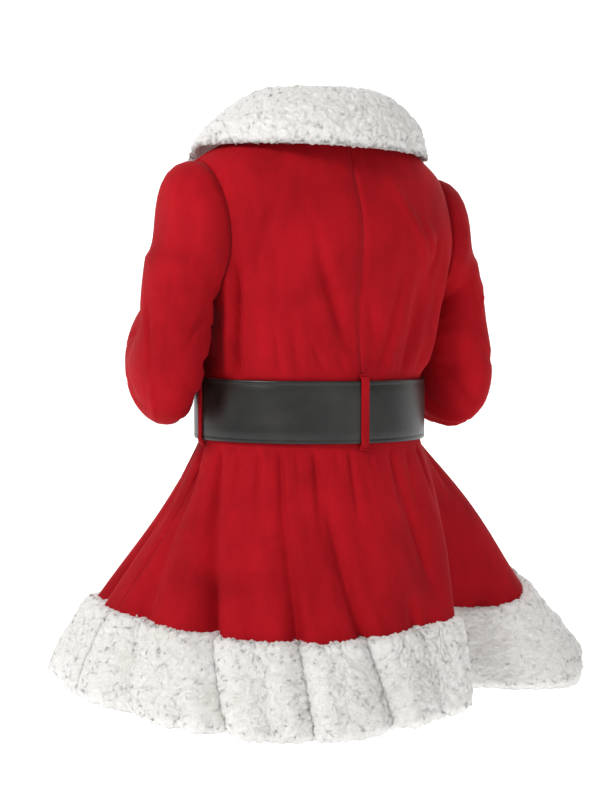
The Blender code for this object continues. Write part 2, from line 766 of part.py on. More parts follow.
def collar_ring(row, angle):
    half_width, back, front, height, drop, centre_y = row
    x, y = ring_point(angle, half_width, back, front, centre_y, 2.0)
    side = abs(math.sin(math.radians(angle))) ** 3
    sag = COLLAR_SAG * side * ease(-height, 0.0, 0.030)
    lean = SHOULDER_LEAN * x * ease(-height, -0.004, 0.030)
    return np.array((x, y, height - drop * frontness(angle) - sag + lean))


def make_collar(look):
    sections = []
    for i in range(COLLAR_STEPS + 1):
        angle = -COLLAR_HALF_OPEN + 2 * COLLAR_HALF_OPEN * i / COLLAR_STEPS
        sections.append([collar_ring(row, angle) for row in COLLAR])
    swept("collar", sections, look)


def make_cuffs(look):
    bare = (WRIST_RADIUS, WRIST_RADIUS)
    profile = (
        (0.00, -CLOTH / 2),
        (0.00, 0.007),
        (0.03, 0.0105),
        (0.20, CUFF_FUR),
        (0.50, CUFF_FUR * 1.05),
        (0.80, CUFF_FUR),
        (0.97, 0.0095),
        (1.00, 0.0045),
        (1.00, -CLOTH / 2),
    )
    for arm, flip in (("left", 1.0), ("right", -1.0)):
        path, _ = arm_path(arm)
        frame = arm_frames(path)[-1]
        start, way = path[-1]
        rings = []
        for share, grow in profile:
            centre = start + way * (SEAM_GAP + CUFF_LENGTH * share)
            rings.append(arm_ring(centre, frame, bare, 1.0, creased=False, grow=grow) * np.array((flip, 1, 1)))
        sections = [[ring[j] for ring in rings] for j in range(SLEEVE_SIDES)]
        swept(f"cuff_{arm}", sections, look, closed=True)


def belt_ring(angle, height, out):
    """A point beside the smooth waist, moved out from the cloth's middle."""
    row = read(BODY, -0.300)
    x, y = ring_point(angle, row[0] + out, row[1] + out, row[2] + out, row[3], row[4])
    return np.array((x, y, height + BELT_RISE * x))


def belt_section(angle, out, narrow=0.0):
    """The strap's four-cornered section with softened edges."""
    top = BELT_TOP - narrow
    bottom = BELT_TOP - BELT_HEIGHT + narrow
    edge = 0.0012
    return [
        belt_ring(angle, top - edge, out),
        belt_ring(angle, top, out + edge * 0.6),
        belt_ring(angle, top, out + BELT_THICK - edge * 0.6),
        belt_ring(angle, top - edge, out + BELT_THICK),
        belt_ring(angle, bottom + edge, out + BELT_THICK),
        belt_ring(angle, bottom, out + BELT_THICK - edge * 0.6),
        belt_ring(angle, bottom, out + edge * 0.6),
        belt_ring(angle, bottom + edge, out),
    ]


BELT_IN = CLOTH / 2 + BELT_CLEAR


def make_belt(look):
    """One strap. Its inner end is sewn round the buckle's bar and its tip lies outside, past the buckle."""
    start = BUCKLE_ANGLE - 2.0
    sections = []
    for i in range(BELT_STEPS + 1):
        angle = start - (start - TIP_ANGLE + 360.0) * i / BELT_STEPS
        lift = TIP_LIFT * ease(angle, -166.0, -178.0)
        end = ease(angle, TIP_ANGLE - 360.0 + 5.0, TIP_ANGLE - 360.0)
        sections.append(belt_section(angle, BELT_IN + lift, narrow=0.012 * end))
    swept("belt_strap", sections, look)


def make_buckle(look):
    """A plain square frame in front of the strap, with a prong across it."""
    middle = belt_ring(BUCKLE_ANGLE, BELT_TOP - BELT_HEIGHT / 2, BELT_IN + TIP_LIFT + BELT_THICK)
    y = middle[1] + BUCKLE_SEAT
    bm = bmesh.new()
    wide, high = BUCKLE_OUT
    outer = ((-1, -1), (1, -1), (1, 1), (-1, 1))
    corners = []
    for scale_x, scale_z in ((wide / 2, high / 2), (wide / 2 - BUCKLE_BAR, high / 2 - BUCKLE_BAR)):
        corners.append([(sx * scale_x, sz * scale_z) for sx, sz in outer])
    rings = []
    for corner, depth in ((corners[0], 0.0), (corners[0], BUCKLE_THICK), (corners[1], BUCKLE_THICK), (corners[1], 0.0)):
        rings.append([bm.verts.new((x, y - depth, middle[2] + z)) for x, z in corner])
    for here, there in zip(rings, rings[1:] + rings[:1]):
        for j in range(4):
            k = (j + 1) % 4
            bm.faces.new((here[j], here[k], there[k], there[j]))
    bmesh.ops.recalc_face_normals(bm, faces=bm.faces)
    bmesh.ops.bevel(
        bm, geom=bm.edges[:], affect="EDGES", offset=0.0009, segments=1, profile=0.5, material=-1
    )
    finish_mesh(bm, "buckle_frame", look, smooth=False)
    sides = 8
    sections = []
    reach = wide - BUCKLE_BAR * 1.2
    front = y - BUCKLE_THICK - SEAM_GAP - PRONG_RADIUS
    for share in (0.0, 0.04, 0.5, 0.96, 1.0):
        radius = PRONG_RADIUS * (0.55 if share in (0.0, 1.0) else 1.0)
        x = -reach / 2 + reach * share
        ring = []
        for j in range(sides):
            turn = 2 * math.pi * j / sides
            ring.append((x, front + radius * math.cos(turn), middle[2] + radius * math.sin(turn)))
        sections.append(ring)
    swept("buckle_prong", sections, look)


def skirt_out(angle, height):
    """How far the skirt's cloth stands out from the waist at a height under the belt."""
    if height > SKIRT_START:
        return 0.0
    flare, length, _ = read(FLARE, angle)
    down = (SKIRT_START - height) / math.sqrt(length**2 - flare**2)
    return float(np.linalg.norm((skirt_point(angle, down) - skirt_point(angle, 0.0))[:2]))


def make_loops(look):
    """Narrow strips of velvet over the belt, sewn to the coat above and below it."""
    for name, angle, stand in LOOPS:
        half = math.degrees(LOOP_WIDTH / 2 / 0.115)
        over = BELT_IN + BELT_THICK + SEAM_GAP
        top = BELT_TOP + 0.0006
        bottom = BELT_TOP - BELT_HEIGHT - 0.0006
        foot = CLOTH / 2 + LOOP_CLEAR
        rise = belt_ring(angle, 0.0, 0.0)[2]
        path = [
            (foot, top + LOOP_REACH),
            (foot, top + 0.0030),
            (over, top + 0.0004),
            (over, top - 0.0200),
            (over + stand * 0.15, bottom + 0.0220),
            (over + stand, bottom + 0.0080),
            (over + stand, bottom - 0.0006),
        ]
        for below in (0.0030, LOOP_REACH):
            path.append((skirt_out(angle, bottom - below + rise) + foot + 0.0006, bottom - below))
        sections = []
        for out, height in path:
            sections.append(
                [
                    belt_ring(angle - half, height, out),
                    belt_ring(angle + half, height, out),
                    belt_ring(angle + half, height, out + LOOP_THICK),
                    belt_ring(angle - half, height, out + LOOP_THICK),
                ]
            )
        swept(name, sections, look, smooth=False)


def main():
    for old in list(bpy.data.objects):
        bpy.data.objects.remove(old, do_unlink=True)
    velvet = material("red_velvet", VELVET_RED, 0.75)
    make_coat(velvet)
    make_skirt_and_hem(material("red_velvet_skirt", VELVET_RED, 0.75), material("white_fur", FUR_WHITE, 0.95))
    make_collar(material("white_fur_collar", FUR_WHITE, 0.95))
    make_cuffs(material("white_fur_cuffs", FUR_WHITE, 0.95))
    make_belt(material("black_leather", BELT_BLACK, 0.42))
    make_buckle(material("gold_metal", BUCKLE_GOLD, 0.3, 1.0))
    make_loops(material("red_velvet_loops", VELVET_RED, 0.75))


main()
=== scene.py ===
"""A child's santa coat of red velvet in worn shape, with curly fur at collar, cuffs and hem and a wide belt.

The looks of the coat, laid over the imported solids. Metres, +Z up, front towards -Y, the wearer's left is +X.
Angles round the coat run from the middle of the back, 0, to the wearer's left side, +90, and to the
front, 180.
"""

import math

import bmesh
import bpy
import numpy as np
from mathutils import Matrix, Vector


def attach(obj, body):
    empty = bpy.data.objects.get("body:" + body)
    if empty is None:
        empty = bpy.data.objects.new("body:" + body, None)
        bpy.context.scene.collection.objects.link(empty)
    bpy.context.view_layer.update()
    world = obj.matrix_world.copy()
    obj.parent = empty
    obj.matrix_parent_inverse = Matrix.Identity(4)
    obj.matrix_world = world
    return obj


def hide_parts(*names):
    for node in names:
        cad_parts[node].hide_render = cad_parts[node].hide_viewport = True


# Sizes of the coat, as the solids have them
CLOTH = 0.0016
SEAM_GAP = 0.0003
NECK_DROP = 0.030
SHOULDER_LEAN = 0.038
OVERLAP = 11.0
OVERLAP_STEP = 0.0013
OVERLAP_FROM = 160.0
OVERLAP_FULL = 172.0
SHOULDER_POINT = -0.048
UNDERARM = -0.184
WAIST_SEAM = -0.296
SKIRT_START = -0.328
ARMHOLE_BACK = 34.0
ARMHOLE_FRONT = 38.0
ARM_DENT_ANGLE = 96.0
ARM_DENT_HALF = 46.0
SKIRT_LENGTH = 0.287
FUR_STARTS = 0.685
FLUTE_THIN = 0.75
BELT_TOP = -0.262
BELT_HEIGHT = 0.063
BELT_IN = 0.0031
BELT_THICK = 0.0026
BELT_RISE = 0.012
BELT_RADIUS = 0.115
BUCKLE_ANGLE = 180.0
TIP_ANGLE = 144.0
TIP_LIFT = 0.0034

# Rings of the body: height, half_width, back, front, centre_y, squareness
BODY = (
    (0.000, 0.0615, 0.0500, 0.0500, 0.000, 2.0),
    (-0.012, 0.0830, 0.0560, 0.0560, -0.001, 2.1),
    (-0.024, 0.1040, 0.0615, 0.0610, -0.002, 2.2),
    (-0.036, 0.1220, 0.0670, 0.0665, -0.003, 2.3),
    (-0.048, 0.1370, 0.0730, 0.0700, -0.004, 2.3),
    (-0.062, 0.1430, 0.0800, 0.0750, -0.005, 2.4),
    (-0.080, 0.1480, 0.0885, 0.0790, -0.006, 2.4),
    (-0.100, 0.1510, 0.0950, 0.0820, -0.007, 2.5),
    (-0.120, 0.1510, 0.0985, 0.0840, -0.008, 2.6),
    (-0.145, 0.1470, 0.0980, 0.0850, -0.010, 2.7),
    (-0.170, 0.1410, 0.0960, 0.0840, -0.011, 2.7),
    (-0.190, 0.1370, 0.0965, 0.0830, -0.013, 2.6),
    (-0.220, 0.1335, 0.0985, 0.0820, -0.015, 2.4),
    (-0.245, 0.1275, 0.1030, 0.0820, -0.018, 2.2),
    (-0.262, 0.1215, 0.1070, 0.0825, -0.0205, 2.0),
    (-0.300, 0.1205, 0.1075, 0.0825, -0.021, 2.0),
    (-0.335, 0.1210, 0.1080, 0.0830, -0.021, 2.0),
)

# Depth of the arm's dent in the body: height, depth
ARM_DENT = (
    (-0.125, 0.000),
    (-0.150, 0.006),
    (-0.170, 0.014),
    (-0.190, 0.019),
    (-0.205, 0.019),
    (-0.222, 0.018),
    (-0.245, 0.014),
    (-0.262, 0.000),
)

# Folds of the bodice: top_angle, top, bottom_angle, bottom, depth (minus is a ridge), half_width in degrees
BODICE_FOLDS = (
    (51.0, -0.105, 68.0, -0.290, 0.0085, 7.0),
    (61.0, -0.120, 76.0, -0.290, -0.0030, 6.0),
    (16.0, -0.110, 3.0, -0.240, 0.0030, 6.0),
    (2.0, -0.145, -8.0, -0.270, 0.0030, 6.0),
    (26.0, -0.190, 32.0, -0.290, 0.0030, 5.0),
    (-28.0, -0.115, -25.0, -0.290, 0.0050, 8.0),
    (-44.0, -0.095, -48.0, -0.285, -0.0045, 8.0),
    (-56.0, -0.130, -60.0, -0.285, 0.0045, 7.0),
    (128.0, -0.120, 138.0, -0.290, 0.0050, 8.0),
    (158.0, -0.150, 160.0, -0.290, 0.0035, 7.0),
    (-122.0, -0.130, -134.0, -0.290, 0.0055, 8.0),
    (-155.0, -0.110, -150.0, -0.290, 0.0035, 7.0),
)

# Flare of the skirt at the hem, its length from the belt, and how far it swells on the way:
# angle, flare, length, swell
FLARE = (
    (-240.0, 0.150, 0.283, -0.030),
    (-210.0, 0.112, 0.285, 0.000),
    (-180.0, 0.090, 0.285, 0.000),
    (-150.0, 0.115, 0.287, 0.000),
    (-125.0, 0.148, 0.288, 0.020),
    (-100.0, 0.180, 0.289, 0.025),
    (-80.0, 0.190, 0.299, 0.030),
    (-62.0, 0.167, 0.312, 0.030),
    (-45.0, 0.116, 0.279, 0.020),
    (-25.0, 0.078, 0.273, 0.000),
    (0.0, 0.084, 0.281, 0.000),
    (30.0, 0.096, 0.289, -0.010),
    (60.0, 0.116, 0.286, -0.030),
    (90.0, 0.140, 0.281, -0.045),
    (120.0, 0.149, 0.283, -0.030),
    (150.0, 0.112, 0.285, 0.000),
    (180.0, 0.090, 0.285, 0.000),
    (210.0, 0.115, 0.287, 0.000),
    (235.0, 0.148, 0.288, 0.020),
)

# Folds of the skirt: waist_angle, hem_angle, depth at the hem, half_width in degrees, and where it ends
# on the way down
SKIRT_FOLDS = (
    (-63.0, -43.0, 0.1050, 21.0, 2.0),
    (92.0, 75.0, 0.0100, 9.0, 2.0),
    (75.0, 50.0, 0.0170, 7.0, 2.0),
    (56.0, 38.0, 0.0050, 6.0, 2.0),
    (41.0, 27.0, 0.0090, 6.0, 2.0),
    (24.5, 3.5, 0.0130, 7.0, 2.0),
    (7.0, 4.0, 0.0070, 5.0, 0.5),
    (-17.0, -30.0, 0.0100, 6.0, 0.7),
    (-36.0, -20.0, -0.0060, 8.0, 2.0),
    (108.0, 104.0, 0.0140, 8.0, 2.0),
    (132.0, 130.0, 0.0200, 10.0, 2.0),
    (160.0, 158.0, 0.0140, 9.0, 2.0),
    (-84.0, -80.0, 0.0100, 8.0, 2.0),
    (-108.0, -104.0, 0.0180, 9.0, 2.0),
    (-134.0, -132.0, 0.0200, 10.0, 2.0),
    (-158.0, -160.0, 0.0130, 9.0, 2.0),
)

# Fur at the hem: share of the band's height from the seam to the hem, thickness
HEM_FUR = (
    (0.000, 0.0060),
    (0.060, 0.0095),
    (0.350, 0.0110),
    (0.750, 0.0115),
    (0.950, 0.0090),
    (1.000, 0.0040),
)

# Collar, round its section: half_width, back, front, height, drop at the front, centre_y
COLLAR = (
    (0.1275, 0.0990, 0.1130, -0.0290, 0.040, -0.015),
    (0.1290, 0.1015, 0.1150, -0.0225, 0.038, -0.015),
    (0.1250, 0.1000, 0.1100, -0.0140, 0.034, -0.013),
    (0.1195, 0.0950, 0.1030, -0.0040, 0.031, -0.010),
    (0.1110, 0.0880, 0.0940, 0.0050, 0.029, -0.007),
    (0.1005, 0.0795, 0.0830, 0.0140, 0.028, -0.004),
    (0.0860, 0.0700, 0.0730, 0.0235, 0.027, -0.002),
    (0.0700, 0.0590, 0.0610, 0.0310, 0.027, -0.001),
    (0.0600, 0.0490, 0.0520, 0.0340, 0.028, 0.000),
    (0.0540, 0.0425, 0.0440, 0.0300, 0.029, 0.000),
    (0.0540, 0.0420, 0.0415, 0.0160, 0.030, 0.000),
    (0.0560, 0.0445, 0.0440, 0.0012, 0.030, 0.000),
    (0.0640, 0.0525, 0.0525, 0.0012, 0.030, 0.000),
    (0.0650, 0.0535, 0.0540, 0.0130, 0.030, 0.000),
    (0.0720, 0.0580, 0.0600, 0.0190, 0.029, 0.000),
    (0.0870, 0.0670, 0.0720, 0.0110, 0.029, -0.002),
    (0.0995, 0.0760, 0.0830, 0.0015, 0.030, -0.005),
    (0.1095, 0.0835, 0.0930, -0.0080, 0.032, -0.009),
    (0.1165, 0.0890, 0.1010, -0.0165, 0.036, -0.012),
    (0.1205, 0.0920, 0.1055, -0.0235, 0.040, -0.014),
)

# Start of each elbow, back to front and in height, how far its point stands out, and how the forearm turns in
ARMS = {
    "left": (-0.009, -0.206, 0.0110, 25.0),
    "right": (0.009, -0.208, 0.0175, 20.0),
}

# Half-width of the sleeve across the arm: share of the way down, across
SLEEVE_ACROSS = (
    (0.00, 0.0378),
    (0.15, 0.0350),
    (0.28, 0.0340),
    (0.45, 0.0335),
    (0.62, 0.0345),
    (1.00, 0.0340),
)

# Creases of the sleeves: share of the way, angle round, lean, half_turn, half_length, depth
SLEEVE_CREASES = (
    (0.16, 150.0, 0.03, 45.0, 0.030, 0.0030),
    (0.28, 150.0, 0.04, 50.0, 0.032, 0.0040),
    (0.40, 140.0, 0.05, 60.0, 0.035, 0.0045),
    (0.50, 165.0, 0.04, 55.0, 0.035, 0.0045),
    (0.44, 10.0, -0.04, 40.0, 0.035, 0.0025),
)
COLLAR_SAG = 0.002
COLLAR_HALF_OPEN = 177.0
CAP_CENTRE = (0.1595, -0.004, -0.1605)
CAP_DEPTH = 0.0500
CAP_TURN = 43.5
CAP_FULLNESS = 1.6
UNDERARM_GAP = 0.0013
BODY_AXIS = (0.0, -0.012, 0.0)
ARM_ACROSS = 0.1600
ARM_DOWN = (0.20, -0.03, -0.98)
ELBOW_CREASE = 0.006
ELBOW_POINT_AT = 0.48
ELBOW_POINT_HALF = 0.5
ELBOW_DEPTHS = (0.0440, 0.0380)
FOREARM_UP = 29.0
WRIST_IN = 54.0
WRIST_UP = 29.0
FOREARM_RADIUS = 0.22
CUFF_LENGTH = 0.050
WRIST_RADIUS = 0.0340
BUCKLE_OUT = (0.080, 0.082)
BUCKLE_BAR = 0.0090
BUCKLE_THICK = 0.0036
BUCKLE_SEAT = 0.0009
BUCKLE_CORNER = 0.010
CORNER_STEPS = 7
BAR_STEPS = 16
BAR_FULLNESS = 0.6
PRONG_RADIUS = 0.0022
PRONG_STEPS = 16
LOOP_WIDTH = 0.0080
LOOP_THICK = 0.0014
LOOP_REACH = 0.0060
LOOP_SLACK = 0.0006
LOOP_TURN = 0.0030
LOOP_CLEAR = 0.0016

# Belt loops: name, angle, how far the loop stands off the belt near its foot
LOOPS = (
    ("belt_loop_back", 0.0, 0.0),
    ("belt_loop_left", 90.0, 0.0),
    ("belt_loop_right", -88.0, 0.0045),
)

# Small creases of the bodice: top_angle, top, bottom_angle, bottom, depth, half_width
BODICE_CREASES = (
    (51, -0.110, 68, -0.285, 0.0040, 3.2),
    (16, -0.110, 3, -0.240, 0.0035, 2.6),
    (128, -0.125, 138, -0.285, 0.0047, 3.6),
    (-122, -0.135, -134, -0.285, 0.0047, 3.6),
    (-9, -0.031, -31, -0.175, -0.0030, 5.0),
    (-25, -0.085, -33, -0.150, -0.0024, 4.0),
    (-16, -0.120, -10, -0.262, 0.0035, 4.0),
    (-36, -0.105, -30, -0.165, 0.0024, 3.5),
    (15, -0.100, 4, -0.225, 0.0030, 3.5),
    (1, -0.140, -7, -0.240, 0.0027, 3.0),
    (33, -0.080, 45, -0.170, 0.0024, 5.0),
    (24, -0.055, 34, -0.130, -0.0019, 6.0),
    (36, -0.205, 40, -0.262, 0.0030, 2.6),
    (20, -0.215, 17, -0.262, 0.0022, 2.2),
    (9, -0.225, 8, -0.262, 0.0019, 2.0),
    (-4, -0.228, -3, -0.262, 0.0020, 2.2),
    (-19, -0.214, -20, -0.262, 0.0024, 2.4),
    (-27, -0.190, -27, -0.262, 0.0022, 2.6),
    (-39, -0.222, -38, -0.262, 0.0019, 2.2),
    (52, -0.235, 53, -0.262, 0.0016, 2.0),
    (112, -0.150, 118, -0.262, 0.0030, 4.0),
    (134, -0.200, 131, -0.262, 0.0024, 3.0),
    (150, -0.090, 141, -0.190, -0.0024, 5.0),
    (166, -0.215, 163, -0.262, 0.0020, 2.5),
    (-114, -0.160, -119, -0.262, 0.0027, 4.0),
    (-131, -0.208, -129, -0.262, 0.0022, 3.0),
    (-146, -0.095, -139, -0.200, -0.0022, 5.0),
    (-168, -0.222, -166, -0.262, 0.0019, 2.5),
)

# Small gathers of the skirt: waist_angle, hem_angle, start, end, depth, half_width
SKIRT_CREASES = (
    (75, 50, 0.00, 1.00, 0.0170, 3.6),
    (92, 75, 0.00, 1.00, 0.0060, 3.6),
    (41, 27, 0.00, 1.00, 0.0083, 3.0),
    (24.5, 3.5, 0.00, 1.00, 0.0105, 3.2),
    (-17, -30, 0.00, 0.75, 0.0075, 3.0),
    (108, 104, 0.00, 1.00, 0.0090, 3.6),
    (132, 130, 0.00, 1.00, 0.0105, 4.0),
    (160, 158, 0.00, 0.90, 0.0075, 3.6),
    (-108, -104, 0.00, 1.00, 0.0097, 3.8),
    (-134, -132, 0.00, 1.00, 0.0105, 4.0),
    (-158, -160, 0.00, 0.90, 0.0075, 3.6),
    (66, 71, 0.00, 0.30, 0.0060, 3.0),
    (58, 46, 0.00, 0.22, 0.0045, 2.6),
    (49, 42, 0.02, 0.46, 0.0024, 3.2),
    (33, 21, 0.00, 0.36, 0.0024, 2.8),
    (16, 9, 0.00, 0.24, 0.0020, 2.6),
    (1, -6, 0.02, 0.40, 0.0027, 3.0),
    (-10, -17, 0.00, 0.34, 0.0027, 2.8),
    (-26, -28, 0.00, 0.45, 0.0027, 3.0),
    (-44, -34, 0.05, 0.55, 0.0053, 3.0),
    (62, 60, 0.45, 1.00, 0.0090, 5.0),
    (32, 33, 0.50, 1.00, 0.0067, 5.0),
    (12, 15, 0.40, 1.00, -0.0034, 5.0),
    (-8, -12, 0.55, 1.00, 0.0090, 4.5),
    (-22, -24, 0.60, 1.00, -0.0030, 4.0),
    (84, 88, 0.00, 0.30, 0.0053, 3.0),
    (101, 96, 0.00, 0.42, 0.0060, 3.0),
    (120, 118, 0.02, 0.36, 0.0067, 3.4),
    (146, 145, 0.00, 0.50, 0.0067, 3.4),
    (170, 172, 0.05, 0.40, 0.0053, 3.0),
    (-72, -66, 0.00, 0.38, 0.0053, 3.0),
    (-95, -92, 0.00, 0.34, 0.0060, 3.0),
    (-121, -120, 0.02, 0.45, 0.0067, 3.4),
    (-147, -146, 0.00, 0.36, 0.0067, 3.2),
    (-170, -172, 0.04, 0.42, 0.0053, 3.0),
)

# Gathers of the skirt where it is sewn on under the belt: angle, depth, half_width, how far down they run
WAIST_GATHERS = (
    (75, 0.0050, 3.4, 0.55),
    (63, 0.0026, 2.4, 0.26),
    (52, 0.0030, 2.6, 0.34),
    (41, 0.0038, 2.8, 0.40),
    (33, 0.0014, 2.0, 0.16),
    (24.5, 0.0040, 2.8, 0.40),
    (14, 0.0012, 2.0, 0.14),
    (7, 0.0032, 2.6, 0.36),
    (-4, 0.0012, 2.0, 0.15),
    (-17, 0.0030, 2.8, 0.34),
    (-29, 0.0016, 2.2, 0.18),
    (-41, 0.0032, 2.8, 0.36),
    (-60, 0.0040, 3.4, 0.40),
    (-74, 0.0028, 2.6, 0.30),
    (92, 0.0034, 3.0, 0.36),
    (108, 0.0044, 3.2, 0.46),
    (120, 0.0028, 2.6, 0.30),
    (132, 0.0042, 3.2, 0.44),
    (146, 0.0028, 2.8, 0.30),
    (160, 0.0034, 3.0, 0.36),
    (-95, 0.0030, 2.8, 0.32),
    (-108, 0.0044, 3.2, 0.46),
    (-121, 0.0030, 2.8, 0.30),
    (-134, 0.0042, 3.2, 0.44),
    (-147, 0.0028, 2.8, 0.28),
    (-158, 0.0034, 3.0, 0.36),
)

# Small creases of each sleeve: share of the way, angle round, lean, half_turn, half_length, depth
SLEEVE_FINE = {
    "left": (
        (0.08, 175.0, 0.02, 40.0, 0.020, 0.0028),
        (0.21, 165.0, 0.05, 42.0, 0.018, 0.0036),
        (0.34, 120.0, 0.07, 52.0, 0.022, 0.0042),
        (0.45, 128.0, 0.05, 60.0, 0.020, 0.0045),
        (0.56, 100.0, 0.04, 50.0, 0.022, 0.0036),
        (0.36, 45.0, 0.12, 34.0, 0.030, -0.0031),
        (0.47, 20.0, -0.09, 32.0, 0.026, 0.0036),
        (0.30, -60.0, -0.05, 60.0, 0.026, 0.0048),
        (0.42, -95.0, 0.03, 70.0, 0.030, 0.0070),
        (0.52, -80.0, -0.04, 60.0, 0.026, 0.0056),
        (0.68, -30.0, 0.05, 70.0, 0.022, 0.0036),
        (0.79, 90.0, 0.04, 60.0, 0.020, 0.0031),
        (0.90, 0.0, -0.04, 60.0, 0.018, 0.0028),
        (0.13, -40.0, 0.14, 38.0, 0.034, 0.0042),
        (0.22, -95.0, -0.12, 44.0, 0.030, 0.0045),
        (0.24, 20.0, 0.16, 30.0, 0.040, 0.0034),
        (0.15, 100.0, -0.13, 34.0, 0.030, 0.0031),
        (0.60, 30.0, 0.10, 40.0, 0.026, 0.0036),
        (0.73, -110.0, 0.06, 50.0, 0.022, 0.0034),
    ),
    "right": (
        (0.10, 60.0, 0.06, 36.0, 0.022, -0.0025),
        (0.24, 62.0, -0.05, 46.0, 0.020, 0.0042),
        (0.33, 110.0, -0.04, 56.0, 0.018, 0.0045),
        (0.40, 85.0, 0.06, 60.0, 0.020, 0.0059),
        (0.47, 120.0, 0.03, 52.0, 0.018, 0.0050),
        (0.55, 70.0, -0.05, 56.0, 0.022, 0.0048),
        (0.30, -70.0, 0.04, 60.0, 0.026, 0.0048),
        (0.43, -95.0, -0.03, 70.0, 0.030, 0.0070),
        (0.53, -75.0, 0.04, 60.0, 0.026, 0.0056),
        (0.70, 40.0, -0.05, 70.0, 0.022, 0.0036),
        (0.82, -60.0, 0.04, 60.0, 0.020, 0.0031),
        (0.91, 140.0, -0.04, 60.0, 0.018, 0.0028),
        (0.14, -45.0, -0.14, 40.0, 0.034, 0.0045),
        (0.22, -100.0, 0.12, 44.0, 0.030, 0.0048),
        (0.25, 15.0, -0.16, 32.0, 0.040, 0.0039),
        (0.36, -10.0, 0.12, 34.0, 0.032, 0.0036),
        (0.62, -20.0, 0.10, 40.0, 0.026, 0.0039),
        (0.75, -115.0, -0.06, 50.0, 0.022, 0.0034),
    ),
}

# Fineness of the pieces
BODICE_LOWER = 30
BODICE_ARMHOLE = 48
BODICE_UPPER = 16
BODICE_COLUMNS = {"back": 62, "front": 50}
ELBOW_FINE = 34
FOREARM_FINE = 20
CAP_FINE = 12
SKIRT_FINE = 72
SKIRT_COLUMN_STEP = 0.8
FUR_STEP = 0.0016

# Seams, sewn lines and fur
GATHER_LEAN = 0.25
SEAM_DIP = 0.0008
SEAM_WIDE = 0.0019
PUCKER = 0.00035
PUCKER_LENGTH = 0.012
TUFT = 0.0098
STRAND = 0.0050
PILE_DEEP = 0.0056
RAGGED = 0.0068
RAGGED_FROM = 0.10
LOCK_LENGTH = 0.0066
LOCK_THICK = 0.0014
LOCK_INSET = 2
LOCK_SPREAD = 0.6
BACKING = 0.0012
STITCH_IN = 0.0042
STITCH_LENGTH = 0.0026
STITCH_PITCH = 0.0036
STITCH_RISE = 0.00018
STITCH_SUNK = 0.0001
STRAP_HIDDEN = 2.0

# Shares of the pile's height: tufts, strands, small lumps, broad lumps
PILE_MIX = (0.42, 0.24, 0.16, 0.18)
TUFT_SWAY = 0.4
SWAY_LENGTH = 0.0137
TUFT_FALL = 1.1
CURL_BESIDE = 0.4
SMALL_LUMPS = 0.0030
BROAD_LUMPS = 0.021
PILE_MEAN = 0.45
PILE_ROLL = 0.004
HEM_REACH = 0.25
HEM_SUNK = 0.0012
COLLAR_SUNK = 0.0015
CUFF_SUNK = 0.002
END_DEEP = 0.0050

# Small locks: how deep they root, how many degrees they rise, fall and curl, and how they taper
LOCK_ROOT = 0.0013
LOCK_RISE = (4, 30)
LOCK_FALL = (14, 44)
LOCK_CURL = (90, 260)
LOCK_SPAN = (0.7, 1.35)
LOCK_TAPER = (1.0, 1.15, 1.0, 0.8, 0.5, 0.12)
LOCK_SIDES = 3
# Values of the fur's painted-shade mask at a lock's root and at its tip
LOCK_SHADES = (0.60, 0.85)
HEM_LOCKS = {"back": 2100, "left": 900, "right": 900}
COLLAR_LOCKS = 2100
END_LOCKS = 60
CUFF_LOCKS = 360

# Parts of the collar's section: first place, last place, rows, columns
COLLAR_OUTER = (-0.6, 10.6, 96, 430)
COLLAR_INNER = (10.0, 19.9, 60, 150)
COLLAR_MIDDLE = (0.0, -0.005, -0.02)
DOME_ROW = 30
END_OUTER = (0.0, 9.8, 60)
END_INNER = 19.0
END_INNER_SHARE = 0.9
END_COLUMNS = 9

# Fur of a cuff: share of its length, thickness
CUFF_PROFILE = (
    (0.00, 0.0070),
    (0.03, 0.0105),
    (0.20, 0.0130),
    (0.50, 0.0136),
    (0.80, 0.0130),
    (0.97, 0.0095),
    (1.00, 0.0045),
)
CUFF_ROWS = 42
CUFF_COLUMNS = 232

# A stitch of the belt: share of its half length, half_width, rise
STITCH_SHAPE = (
    (-1.0, 0.00016, 0.0),
    (-0.6, 0.00034, 0.0003),
    (0.6, 0.00034, 0.0003),
    (1.0, 0.00016, 0.0),
)

# The buckle's prong: share of its length, share of its radius
PRONG_SHAPE = (
    (0.0, 0.35),
    (0.01, 0.7),
    (0.04, 1.0),
    (0.5, 1.0),
    (0.9, 0.95),
    (0.97, 0.7),
    (1.0, 0.3),
)

# View of the coat, from behind and from the wearer's left
VIEW_TURN = 30.0
VIEW_FAR = 2.0
VIEW_HEIGHT = -0.167
VIEW_ACROSS = 0.0187
VIEW_DOWN = 3.4
LENS = 57.69
FLOOR_HEIGHT = -1.05
STAGE_FRONT = 9.0
STAGE_BACK = 2.5
STAGE_BEND = 1.6
STAGE_HEIGHT = 6.0
STAGE_HALF_WIDTH = 12.0


def curve(table, at):
    """The other columns of a table at values of its first column, on a smooth curve through its rows."""
    rows = np.array(sorted(table))
    keys, values = rows[:, 0], rows[:, 1:]
    slopes = np.empty_like(values)
    slopes[1:-1] = (values[2:] - values[:-2]) / (keys[2:] - keys[:-2])[:, None]
    slopes[0] = (values[1] - values[0]) / (keys[1] - keys[0])
    slopes[-1] = (values[-1] - values[-2]) / (keys[-1] - keys[-2])
    at = np.clip(np.asarray(at, float), keys[0], keys[-1])
    i = np.clip(np.searchsorted(keys, at) - 1, 0, len(keys) - 2)
    span = (keys[i + 1] - keys[i])[..., None]
    t = (at - keys[i])[..., None] / span
    return (
        values[i] * (2 * t**3 - 3 * t**2 + 1)
        + slopes[i] * span * (t**3 - 2 * t**2 + t)
        + values[i + 1] * (3 * t**2 - 2 * t**3)
        + slopes[i + 1] * span * (t**3 - t**2)
    )


def unit(vectors):
    vectors = np.asarray(vectors, float)
    return vectors / np.maximum(np.linalg.norm(vectors, axis=-1, keepdims=True), 1e-12)


